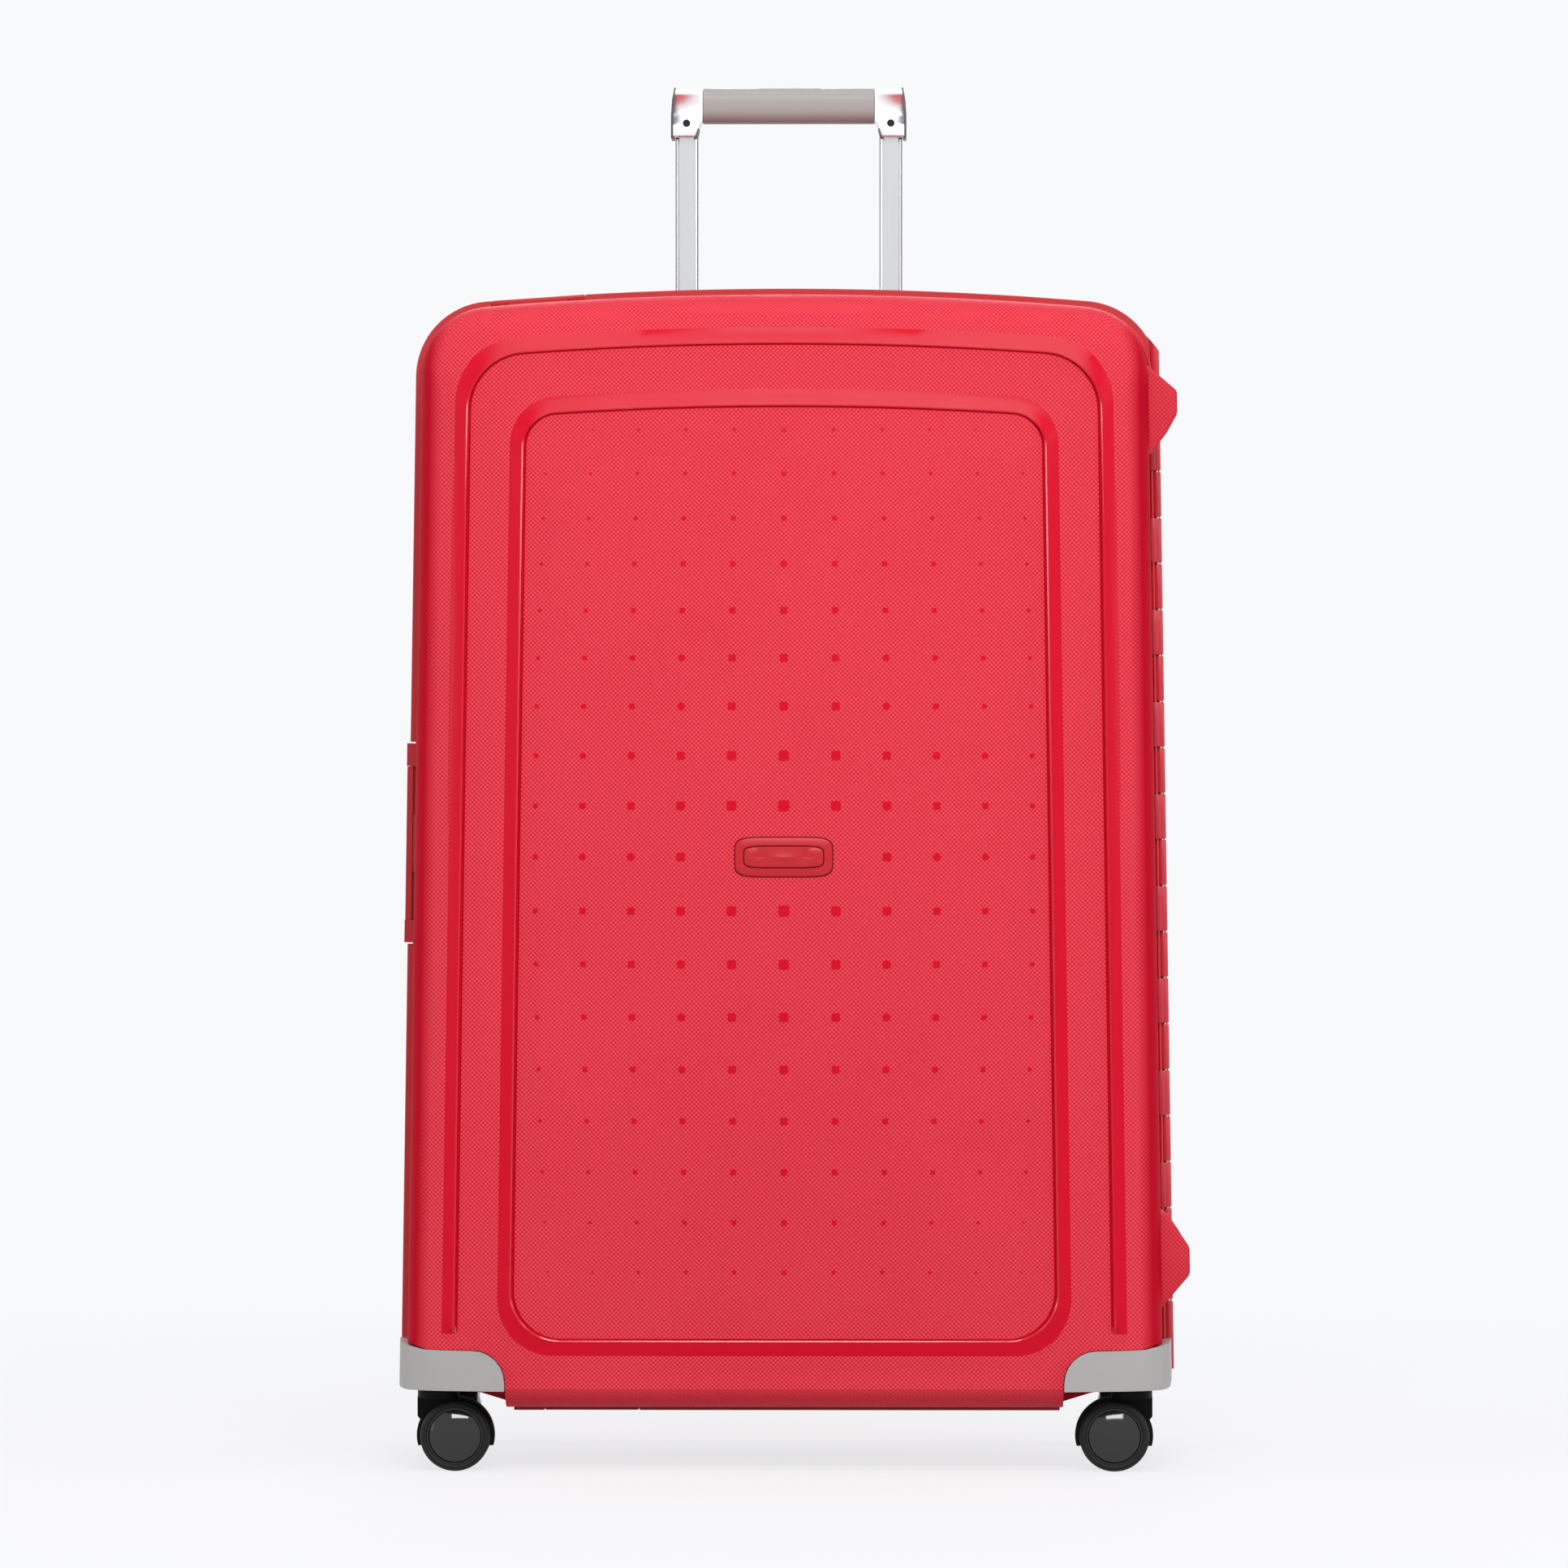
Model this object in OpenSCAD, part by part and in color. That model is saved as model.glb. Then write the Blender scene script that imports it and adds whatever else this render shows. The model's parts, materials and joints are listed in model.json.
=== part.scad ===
// Upright hard-shell suitcase on four spinner casters.
// Millimetres. +Z is up, the lid faces -Y, the hinge is on +X, and the floor is at z = 0.

/* [Case] */
// Height from the floor to the crown of the rear rim
case_h = 810; // [805:1:815]
// Width across the lip of the shells near the floor
lip_w = 525; // [521:1:529]
// Lean of each side wall towards the top, in degrees
side_lean = 0.85; // [0.8:0.01:0.9]
// Depth of one half, from the seam to the middle of its face
half_depth = 165; // [163:0.5:168]
// Thickness of the shell walls
wall = 3; // [2.6:0.1:3.2]
// Height of the lip's lowest edge above the floor
belly_z = 37.5; // [36:0.5:40]
// Radius of the four corners in front view
corner_r = 48; // [44:1:52]
// Height of the crown of the top edge
crown = 8.4; // [6:0.1:10]
// Radius of the edge between a wall and the face
edge_r = 34; // [30:1:36]
// How far the walls draw in between the lip and that edge
draft = 5.6; // [5:0.1:6]

/* [Rim and hinge] */
// How far the rear rim stands proud of the lip
rim_out = 4.5; // [4:0.1:5]
// Depth of the rear rim
rim_t = 8; // [7:0.5:9]
// Gap between the two halves at the seam
seam_gap = 0.5; // [0.4:0.1:0.8]
// Number of hinge knuckles, lid and rear in turn
knuckles = 20; // [16:2:24]
// Radius of the hinge barrel
barrel_r = 3.1; // [3:0.1:3.2]
// Radius of the hinge pin
pin_r = 1.4; // [1.2:0.1:1.5]

/* [Casters] */
// Radius of the wheels
wheel_r = 23.75; // [23:0.25:24]
// Distance of the swivel axes from the middle of the case
swivel_x = 236; // [234:1:237]
// Distance of the swivel axes from the seam
swivel_y = 104; // [102:1:106]
// Distance of the axle behind the swivel axis
trail = 12; // [11:0.5:12]
// Height of the underside of the corner bumpers
bumper_z = 56; // [55:0.5:57]

/* [Trolley] */
// Distance between the middles of the two tubes
tube_gap = 144; // [142:1:146]
// Distance of the tubes behind the seam
tube_y = 120; // [119:0.5:121]
// Top of the grip as drawn, with the upper tubes out
grip_top = 958; // [956:1:960]
// Travel of the upper tubes
upper_travel = 150; // [146:1:150]

/* [Fittings] */
// Length of a latch lever at the top and the bottom
latch_w = 64; // [56:1:66]
// Length of the lever beside the lock
lock_lever_w = 106; // [100:1:106]
// Length of the gap between the mounts of a carry handle
handle_w = 150; // [140:1:156]
// Width of the badge
badge_w = 66.8; // [60:0.1:70]

/* [Hidden] */
$fn = 64;

case_red = [0.83, 0.11, 0.18];
bumper_grey = [0.68, 0.68, 0.67];
black_plastic = [0.07, 0.07, 0.08];
tube_silver = [0.85, 0.86, 0.86];
grip_grey = [0.69, 0.66, 0.65];
steel = [0.62, 0.63, 0.65];
tread_grey = [0.16, 0.16, 0.17];
lining_grey = [0.36, 0.37, 0.39];

// Heights that the case is worked out from
ref_z = 80;
lip_top = case_h - rim_out;
mid_z = (lip_top + belly_z) / 2;
half_h = (lip_top - belly_z) / 2;
reach = 400;
tiny = 0.05;
// Badge on the lid: its middle, its height, and the plate raised on it
badge_z = 417.6;
badge_h = 27.6;
badge_t = 1.6;
badge_r = 6;
plate_t = 2.4;
plate_r = 2;
plate_in = 14;
// Where the walls turn into the face, and how far they turn
round_y = 108;
side_turn = 78;
end_turn = 82;
// Segments of the corner arcs, the edge arcs and the gentle arcs
corner_n = 8;
edge_n = 6;
face_n = 5;

// Wheel wells and corner bumpers
well_x = 189;
well_back = 64;
well_r = 22;
well_top_in = 83.5;
well_turn_x = 243;
well_turn = 84.2;
roof_slope = 0.236;
// Arch that joins a front well to the rear one, as points of its front view
arch_low = 43.5;
arch_mid_x = 209;
arch_mid = 49.7;
arch_high_x = 235;
arch_high = 55;
bumper_proud = 0.6;
bumper_gap = 0.4;
bumper_corner_r = 12;
bumper_floor = 9;
bumper_edge = 7;
// The bumper's hollow, as distances from the swivel axis to its ends and from the side
hollow_front = 18;
hollow_back = 29;
hollow_side = 13;
// Swivel stem, its collar, and the fork's head and web
stem_r = 4;
stem_low = 50;
stem_h = 29;
stem_collar_r = 6;
stem_collar_t = 2;
stem_boss_r = 9;
head_r = 14;
head_low = 49;
head_in = 5.6;
web_t = 8.8;
hood_r = 26.5;
// Axle, hubs and tyres, as distances along the axle from its middle
axle_r = 2.5;
axle_l = 32;
hub_r = 19.3;
hub_in = 4.9;
hub_side = 15.6;
hub_out = 19.2;
hub_dome = 2.4;
hub_floor = 16.1;
tyre_in = 5.2;
tyre_out = 17.2;
tyre_r = 2.6;

// Hinge line, measured along the leaning edge of the rim from ref_z
pin_u = -2.2;
arm_in = 7;
arm_back = 1;
arm_t = 8.2;
arm_y = 0.8;
hinge_low = 30;
hinge_high = 667;
hinge_end_low = -18;
hinge_end_high = 691;
knuckle_pitch = (hinge_high - hinge_low) / knuckles;
knuckle_gap = 1;
barrel_room = 0.7;
pin_room = 0.05;
// Side feet: how far they stand out from the rim, and where they lie in depth
foot_u = 9.5;
foot_y0 = 58;
foot_y1 = 105;

// Latches
latch_top_x = -172;
latch_bottom_x = -135;
lever_low = 0.6;
lever_high = 4.8;
nose_y = 5;
nose_low = 2.3;
pivot_y = 33;
pivot_n = 2.6;
pivot_r = 2;
latch_pin_r = 1.2;
ear_t = 4;
ear_gap = 0.3;
keeper_w = 40;
// Lock, on the opening side
lock_z = 426;
lock_end = 16;
lock_depth = 62;
lock_high = 6.8;
lock_lever_high = 6.4;
dial_r = 5.5;
dial_t = 6;
dial_pitch = 9;
dial_low = -24;
dial_n = 1.4;
dial_y = 50;
spindle_r = 1;
slider_a = 40;
slider_l = 10;
slider_travel = 6;
cylinder_a = 22;
cylinder_r = 4.5;
slider_low = 3.8;
slider_w = 8;
slider_room = 0.4;

// Divider of the lid and its zip, as depths in front of the seam
divider_y0 = 10;
divider_y1 = 14;
zip_y0 = 8.8;
zip_t = 1.15;
zip_inset = 18;
zip_band = 10;
zip_z = 612;
slider_y = 8.4;
slider_t = 2.4;
slider_len = 26;

// Lining of the rear half and its straps, as depths behind the seam
lining_y0 = 97;
lining_y1 = 98.5;
strap_y = 95.2;
strap_t = 1.6;
strap_x = 196;
strap_z = 250;
strap_w = 30;
buckle_w = 70;
buckle_t = 5;
buckle_y = 96.9;

// Carry handles
top_handle_y = 58;
side_handle_y = 76;
bail_room = 0.5;
bail_t = 7;
bail_arm = 12;
bail_reach = 26;
bail_bar = 14;
mount_l = 16;
handle_pin_r = 2.5;
handle_n = 1.5;

// Trolley
grip_h = 24.7;
grip_half = 60.5;
grip_d = 26;
bracket_out = 83;
bracket_d = 29;
bracket_low = 922;
bracket_top = 957;
socket_top = 936;
screw_z = 932.7;
screw_r = 2.6;
screw_h = 2.4;
screw_deep = 3;
upper_w = 16;
upper_d = 11;
upper_low = 712;
guide_low = 690;
middle_w = 19;
middle_d = 14;
outer_w = 22.4;
outer_d = 17.4;
outer_low = 120;
tube_wall = 1;
outer_wall = 1.2;
// The well takes the grip when the upper tubes are in
well_floor = bracket_low - upper_travel - 4;
middle_top = well_floor + 1.5;
middle_low = guide_low - upper_travel - 5;
cup_w = 184;
cup_d = 38;
cup_wall = 2;
cup_floor_t = 3;
boss_w = 200;
boss_front = 94;
boss_back = 147;
boss_top = 800;
boss_low = 690;
button_w = 44;
button_d = 10;
button_h = 5.8;
rod_r = 1.5;
bar_low = 943;
bar_high = 949;
channel_half = 2.6;
channel_low = 935.5;
channel_h = 15;

// Half the width of the lip at height z
function half_w(z) = lip_w / 2 - (z - ref_z) * tan(side_lean);

// Points of an arc
function arc(cx, cy, r, a0, a1, n) =
    [for (k = [0:n]) let (a = a0 + (a1 - a0) * k / n) [cx + r * cos(a), cy + r * sin(a)]];

// Points of a rectangle with round corners, about the origin
function round_rect(w, d, r) = concat(
    arc(w / 2 - r, d / 2 - r, r, 0, 90, 4),
    arc(r - w / 2, d / 2 - r, r, 90, 180, 4),
    arc(r - w / 2, r - d / 2, r, 180, 270, 4),
    arc(w / 2 - r, r - d / 2, r, 270, 360, 4));

// Front view of the lip, drawn in by i
function outline(i) =
    let (
        r = corner_r - i,
        top = lip_top - i,
        slope = atan(2 * crown / (half_w(lip_top) - corner_r)),
        zt = top - crown - r * cos(slope),
        xt = half_w(zt) - i - r,
        zb = belly_z + i + r,
        xb = half_w(zb) - i - r,
        span = xt + r * sin(slope))
    concat(
        arc(xb, zb, r, -90, side_lean, corner_n),
        arc(xt, zt, r, side_lean, 90 - slope, corner_n),
        [for (k = [1:2 * face_n - 1])
            let (x = span * (1 - k / face_n)) [x, top - crown * pow(x / span, 2)]],
        arc(-xt, zt, r, 90 + slope, 180 - side_lean, corner_n),
        arc(-xb, zb, r, 180 - side_lean, 270, corner_n));

// Wall, edge and half of the face, as outward distance w and y, for a half width of half
function wall_to_face(i, half, turn) =
    let (
        r = edge_r - i,
        we = -draft - edge_r + r * cos(turn),
        ye = -round_y - r * sin(turn),
        sag = half_depth - i + ye)
    concat(
        [[-i, 20], [-i, 0]],
        [for (k = [0:edge_n])
            let (t = turn * k / edge_n) [-draft - edge_r + r * cos(t), -round_y - r * sin(t)]],
        [for (k = [1:face_n])
            let (s = 1 - k / face_n) [-half + (we + half) * s, sag * s * s - half_depth + i]]);

function reversed(p) = [for (k = [len(p) - 1:-1:0]) p[k]];

// Everything inside the right wall and the face, drawn in by i
module wall_prism(i) {
    far = -2 * reach;
    points = concat(
        wall_to_face(i, half_w(ref_z), side_turn),
        [[far, i - half_depth], [far, 20]]);
    translate([half_w(ref_z), 0, ref_z])
        rotate([0, -side_lean, 0])
            translate([0, 0, -reach])
                linear_extrude(3 * reach)
                    polygon(points);
}

// Everything between the top and bottom walls and the face, drawn in by i
module end_prism(i) {
    p = wall_to_face(i, half_h, end_turn);
    upper = [for (q = p) [q[1], mid_z + half_h + q[0]]];
    lower = [for (q = p) [q[1], mid_z - half_h - q[0]]];
    translate([-reach, 0, 0])
        rotate([90, 0, 90])
            linear_extrude(2 * reach)
                polygon(concat(upper, reversed(lower)));
}

// The space of the front half, drawn in by i
module half_block(i) {
    intersection() {
        translate([0, 20, 0])
            rotate([90, 0, 0])
                linear_extrude(reach)
                    polygon(outline(i));
        wall_prism(i);
        mirror([1, 0, 0]) wall_prism(i);
        end_prism(i);
    }
}

module in_rear() {
    mirror([0, 1, 0]) children();
}

// Height of a well's roof towards the side
function well_roof(x) = well_turn + (x - well_turn_x) * roof_slope;

// Front view of a wheel well, grown by g
function well_points(g) = concat(
    [[reach, -50], [well_x - g, -50]],
    reversed(arc(well_x + well_r, well_top_in - well_r, well_r + g, 90, 180, 6)),
    [[well_turn_x, well_turn + g], [reach, well_roof(reach) + g]]);

function arch_points(g) = [
    [reach, -50], [well_x - g, -50], [well_x - g, arch_low + g],
    [arch_mid_x, arch_mid + g], [arch_high_x, arch_high + g], [reach, arch_high + g]];

module wells(g) {
    for (side = [0, 1])
        mirror([side, 0, 0])
            rotate([90, 0, 0]) {
                translate([0, 0, well_back - g])
                    linear_extrude(reach) polygon(well_points(g));
                translate([0, 0, -rim_t - 1])
                    linear_extrude(reach) polygon(arch_points(g));
            }
}

// The leaning line of the rim's right edge
module on_hinge() {
    translate([half_w(ref_z) + rim_out, 0, ref_z])
        rotate([0, -side_lean, 0])
            children();
}

// Feet on the hinge side, on the front half
module side_feet() {
    deep = -16;
    high = [[deep, 606], [-6.2, 615], [2.2, 626], [foot_u, 638.7], [foot_u, 654.4], [deep, 677]];
    low = [[deep, 24], [-0.5, 41.6], [foot_u, 52.9], [foot_u, 71.4], [-4.2, 92.2], [deep, 102]];
    on_hinge()
        for (points = [high, low])
            translate([0, -foot_y0, 0])
                rotate([90, 0, 0])
                    linear_extrude(foot_y1 - foot_y0)
                        polygon(points);
}

// A shell with its wheel wells and feet, as the front half, open at the seam
module shell_half(gap) {
    difference() {
        union() {
            half_block(0);
            side_feet();
        }
        difference() {
            half_block(wall);
            wells(wall);
        }
        wells(0);
        translate([-reach, -gap, -reach]) cube([2 * reach, reach, 4 * reach]);
    }
}

// One knuckle between w0 and w1, on the lid for side -1 and on the rear for side 1
module knuckle(w0, w1, side) {
    difference() {
        union() {
            translate([pin_u, 0, w0]) cylinder(r = barrel_r, h = w1 - w0);
            translate([-arm_in, side > 0 ? arm_y : -arm_y - arm_t, w0])
                cube([arm_in + pin_u - arm_back, arm_t, w1 - w0]);
        }
        translate([pin_u, 0, w0 - 1]) cylinder(r = pin_r + pin_room, h = w1 - w0 + 2);
    }
}

function knuckle_w(k) = hinge_low + knuckle_pitch * k;

module row_of_knuckles(first, side) {
    for (k = [first:2:knuckles - 1])
        knuckle(knuckle_w(k) + knuckle_gap / 2, knuckle_w(k + 1) - knuckle_gap / 2, side);
}

// Room that one half leaves for a knuckle of the other
module knuckle_room(w0, w1) {
    translate([pin_u, 0, w0]) cylinder(r = barrel_r + barrel_room, h = w1 - w0);
}

module row_of_rooms(first) {
    for (k = [first:2:knuckles - 1]) knuckle_room(knuckle_w(k), knuckle_w(k + 1));
}

module front_shell() {
    color(case_red) {
        difference() {
            shell_half(seam_gap);
            on_hinge() {
                row_of_rooms(1);
                knuckle_room(hinge_end_low - barrel_room, hinge_low);
                knuckle_room(hinge_high, hinge_end_high + barrel_room);
            }
        }
        on_hinge() row_of_knuckles(0, -1);
    }
}

// Frames in which a fitting lies with its length on x, its depth on y and outwards on z
module on_top(x) {
    slope = crown / pow(half_w(lip_top) - corner_r, 2);
    translate([x, 0, lip_top - slope * x * x])
        rotate([0, atan(2 * slope * x), 0])
            children();
}

module on_side(z) {
    translate([-half_w(z), 0, z])
        rotate([0, side_lean - 90, 0])
            children();
}

module on_bottom(x) {
    translate([x, 0, belly_z])
        mirror([0, 0, 1])
            children();
}

// Ears that carry a latch lever of length w
module latch_ears(w) {
    for (side = [-1, 1])
        difference() {
            translate([side * (w / 2 + ear_gap + ear_t / 2) - ear_t / 2, pivot_y - 5, -6])
                cube([ear_t, 10, 6 + lever_high]);
            translate([side * (w / 2 + ear_gap + ear_t / 2), pivot_y, pivot_n])
                rotate([0, 90, 0])
                    cylinder(r = latch_pin_r + pin_room, h = 2 * ear_t, center = true);
        }
}

// Room in the rim for a lever of length w
module rim_notch(w) {
    translate([-w / 2 - 1, -1, 0]) cube([w + 2, rim_t + 2, 20]);
}

module lock_pocket(g) {
    low = dial_low - dial_t / 2 - 1 - g;
    high = dial_low + 2 * dial_pitch + dial_t / 2 + 1 + g;
    translate([low, dial_y - dial_r - 1 - g, dial_n - dial_r - 0.8 - g])
        cube([high - low, 2 * (dial_r + 1 + g), 12]);
}

module rim() {
    rotate([-90, 0, 0])
        linear_extrude(rim_t)
            mirror([0, 1, 0])
                difference() {
                    polygon(outline(-rim_out));
                    polygon(outline(wall));
                }
}

// Raised part of the rear shell round the grip's well, as y and z of its side view
module trolley_boss() {
    r = 10;
    points = concat(
        [[boss_front, boss_low], [boss_back, boss_low]],
        arc(boss_back - r, boss_top - r, r, 0, 90, 5),
        [[boss_front, boss_top]]);
    translate([-boss_w / 2, 0, 0])
        rotate([90, 0, 90])
            linear_extrude(boss_w)
                polygon(points);
}

module cup_outer(g) {
    translate([-cup_w / 2 - g, tube_y - cup_d / 2 - g, well_floor - cup_floor_t - g])
        cube([cup_w + 2 * g, cup_d + 2 * g, 200]);
}

module rear_shell() {
    color(case_red) {
        difference() {
            union() {
                in_rear() shell_half(0);
                rim();
                difference() {
                    trolley_boss();
                    in_rear() half_block(tiny);
                }
                on_top(latch_top_x) latch_ears(latch_w);
                on_bottom(latch_bottom_x) latch_ears(latch_w);
                intersection() {
                    on_side(lock_z) lock_pocket(2.4);
                    in_rear() half_block(tiny);
                }
            }
            in_rear() wells(0);
            on_top(latch_top_x) rim_notch(latch_w);
            on_bottom(latch_bottom_x) rim_notch(latch_w);
            on_side(lock_z) rim_notch(lock_lever_w + 2 * lock_end);
            on_side(lock_z) lock_pocket(0);
            cup_outer(0.2);
            on_hinge() {
                translate([pin_u, 0, hinge_end_low - 1])
                    cylinder(r = pin_r + pin_room, h = hinge_end_high - hinge_end_low + 2);
                row_of_rooms(0);
            }
        }
        on_hinge() {
            row_of_knuckles(1, 1);
            knuckle(hinge_end_low, hinge_low - knuckle_gap, 1);
            knuckle(hinge_high + knuckle_gap, hinge_end_high, 1);
        }
    }
}

module hinge_pin() {
    color(steel)
        on_hinge()
            translate([pin_u, 0, hinge_end_low + 1])
                cylinder(r = pin_r, h = hinge_end_high - hinge_end_low - 2);
}

module badge() {
    face = half_depth + tiny;
    color(case_red)
        translate([0, -face, badge_z])
            rotate([90, 0, 0]) {
                linear_extrude(badge_t) polygon(round_rect(badge_w, badge_h, badge_r));
                linear_extrude(plate_t) polygon(round_rect(badge_w - plate_in, badge_h - plate_in, plate_r));
            }
}

// The hollow in a bumper's top, round the boss of the stem
module bumper_hollow(side) {
    difference() {
        translate([well_x + bumper_edge, -swivel_y - hollow_front, bumper_z + bumper_floor])
            cube([side - hollow_side - well_x - bumper_edge, hollow_front + hollow_back, 100]);
        translate([swivel_x, -swivel_y, 0]) cylinder(r = stem_boss_r, h = 200);
    }
}

// Bumper at the front right corner, round the swivel stem
module bumper() {
    inner = well_x + bumper_gap;
    side = half_w(bumper_z) + bumper_proud;
    r = well_r - bumper_gap;
    points = concat(
        arc(side - bumper_corner_r, bumper_z + bumper_corner_r, bumper_corner_r, -90, 0, 6),
        [[side, well_roof(side) - bumper_gap], [well_turn_x, well_turn - bumper_gap]],
        arc(inner + r, well_top_in - well_r, r, 90, 180, 6),
        [[inner, bumper_z]]);
    difference() {
        intersection() {
            translate([0, -well_back - bumper_gap, 0])
                rotate([90, 0, 0])
                    linear_extrude(reach)
                        polygon(points);
            wall_prism(-bumper_proud);
        }
        bumper_hollow(side);
        translate([swivel_x, -swivel_y, 0]) cylinder(r = stem_r + pin_room, h = 80);
        translate([swivel_x, -swivel_y, 0]) cylinder(r = head_r + 0.5, h = bumper_z + head_in + 0.4);
    }
}

// Places a front right piece at the named corner
module at_corner(right, rear) {
    mirror([right ? 0 : 1, 0, 0])
        mirror([0, rear ? 1 : 0, 0])
            children();
}

// Places a caster that is drawn about its swivel axis; the rear ones trail to the back
module caster_at(right, rear) {
    at_corner(right, rear)
        translate([swivel_x, -swivel_y, 0])
            rotate([0, 0, rear ? 90 : 0])
                children();
}

module bumper_at(right, rear) {
    color(bumper_grey) at_corner(right, rear) bumper();
}

module bumper_front_left() { bumper_at(false, false); }
module bumper_front_right() { bumper_at(true, false); }
module bumper_rear_left() { bumper_at(false, true); }
module bumper_rear_right() { bumper_at(true, true); }

// A board that fills the front half's hollow between two depths
module inner_board(y0, y1, gap) {
    intersection() {
        difference() {
            half_block(wall + gap);
            wells(wall + gap);
        }
        translate([-reach, -y1, 0]) cube([2 * reach, y1 - y0, 2 * reach]);
    }
}

module divider_panel() {
    color(lining_grey) inner_board(divider_y0, divider_y1, 0.6);
}

// The divider's zip, a band round the board
module divider_zip() {
    color(black_plastic)
        translate([0, -zip_y0, 0])
            rotate([90, 0, 0])
                linear_extrude(zip_t)
                    difference() {
                        polygon(outline(zip_inset));
                        polygon(outline(zip_inset + zip_band));
                    }
}

// The zip's slider and pull, on the straight run along the opening side
module zip_slider() {
    color(steel)
        on_side(zip_z)
            translate([-slider_len / 2, -slider_y, -zip_inset - zip_band + 1])
                cube([slider_len, slider_t, zip_band - 2]);
}

module rear_lining() {
    color(lining_grey)
        difference() {
            in_rear() inner_board(lining_y0, lining_y1, 0.4);
            cup_outer(0.3);
        }
}

// Four webbing arms from the corners of the lining to the buckle
module packing_straps() {
    len_arm = norm([strap_x, strap_z]);
    color(black_plastic)
        for (sx = [-1, 1])
            for (sz = [-1, 1])
                translate([0, strap_y, mid_z])
                    mirror([sx < 0 ? 1 : 0, 0, 0])
                        mirror([0, 0, sz < 0 ? 1 : 0])
                            rotate([0, -atan(strap_z / strap_x), 0])
                                translate([buckle_w / 2 + 0.3, 0, -strap_w / 2])
                                    cube([len_arm - buckle_w / 2, strap_t, strap_w]);
}

module strap_buckle() {
    color(black_plastic)
        translate([0, buckle_y, mid_z])
            rotate([90, 0, 0])
                cylinder(r = buckle_w / 2, h = buckle_t);
}

// A lever of length w that lies along the rim, with its nose towards the lid
module lever(w, high) {
    difference() {
        union() {
            translate([-w / 2, 0.4, nose_low]) cube([w, nose_y, high - nose_low]);
            translate([-w / 2, nose_y, lever_low]) cube([w, pivot_y - nose_y, high - lever_low]);
            translate([0, pivot_y, pivot_n])
                rotate([0, 90, 0])
                    cylinder(r = pivot_r, h = w, center = true);
        }
        translate([0, pivot_y, pivot_n])
            rotate([0, 90, 0])
                cylinder(r = latch_pin_r + pin_room, h = w + 2, center = true);
    }
}

module top_latch() {
    color(case_red) on_top(latch_top_x) lever(latch_w, lever_high);
}

module side_latch() {
    color(case_red) on_side(lock_z) lever(lock_lever_w, lock_lever_high);
}

module bottom_latch() {
    color(case_red) on_bottom(latch_bottom_x) lever(latch_w, lever_high);
}

module latch_pin(w) {
    translate([0, pivot_y, pivot_n])
        rotate([0, 90, 0])
            cylinder(r = latch_pin_r, h = w + 2 * ear_t, center = true);
}

// Spindle of the three dials, which runs from wall to wall of the lock
module dial_spindle(r) {
    translate([dial_low - dial_pitch + 1, dial_y, dial_n])
        rotate([0, 90, 0])
            cylinder(r = r, h = 4 * dial_pitch - 2);
}

// The pins of the latches and the spindle of the dials
module latch_pins() {
    color(steel) {
        on_top(latch_top_x) latch_pin(latch_w);
        on_bottom(latch_bottom_x) latch_pin(latch_w);
        on_side(lock_z) latch_pin(lock_lever_w);
        on_side(lock_z) dial_spindle(spindle_r);
    }
}

// Keeper on the lip, with the ridge that a lever's nose drops behind
module keeper() {
    difference() {
        union() {
            translate([-keeper_w / 2, -6, -1]) cube([keeper_w, 8.8, 2.3]);
            translate([-keeper_w / 2, 1.6, 0.4]) cube([keeper_w, 1.2, 1.5]);
        }
        translate([-keeper_w, -1, -5]) cube([2 * keeper_w, 20, 5.3]);
    }
}

module latch_keepers() {
    color(steel)
        difference() {
            union() {
                on_top(latch_top_x) keeper();
                on_bottom(latch_bottom_x) keeper();
                on_side(lock_z) keeper();
            }
            half_block(-tiny);
        }
}

// Body of the lock: two end blocks and the plate behind the lever
module lock_body() {
    long = lock_lever_w + 2 * lock_end;
    difference() {
        translate([-long / 2, 0.4, -5]) cube([long, lock_depth, 5 + lock_high]);
        translate([-long, -1, -20]) cube([2 * long, rim_t + 1 + tiny, 20 + tiny]);
        translate([-lock_lever_w / 2 - ear_gap, -1, -20])
            cube([lock_lever_w + 2 * ear_gap, pivot_y + 6, 40]);
        translate([0, pivot_y, pivot_n])
            rotate([0, 90, 0])
                cylinder(r = latch_pin_r + pin_room, h = lock_lever_w + 2 * ear_t + 1, center = true);
        for (k = [0:2])
            translate([dial_low + k * dial_pitch, dial_y, dial_n])
                rotate([0, 90, 0])
                    cylinder(r = dial_r + 0.5, h = dial_t + 1, center = true);
        dial_spindle(spindle_r + pin_room);
        translate([cylinder_a, dial_y, -20]) cylinder(r = cylinder_r + pin_room, h = 40);
        translate([slider_a - slider_room, dial_y - slider_w / 2 - slider_room, slider_low - slider_room])
            cube([slider_l + slider_travel + 2 * slider_room, slider_w + 2 * slider_room, 10]);
    }
}

module lock_housing() {
    color(case_red)
        difference() {
            on_side(lock_z) lock_body();
            in_rear() half_block(-tiny);
        }
}

module lock_dial(k) {
    color(black_plastic)
        on_side(lock_z)
            translate([dial_low + k * dial_pitch, dial_y, dial_n])
                rotate([0, 90, 0])
                    difference() {
                        cylinder(r = dial_r, h = dial_t, center = true);
                        cylinder(r = spindle_r + pin_room, h = 2 * dial_t, center = true);
                    }
}

module lock_dial_1() { lock_dial(0); }
module lock_dial_2() { lock_dial(1); }
module lock_dial_3() { lock_dial(2); }

module lock_slider() {
    color(black_plastic)
        on_side(lock_z)
            translate([slider_a, dial_y - slider_w / 2, slider_low])
                cube([slider_l, slider_w, lock_high - slider_low]);
}

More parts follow.
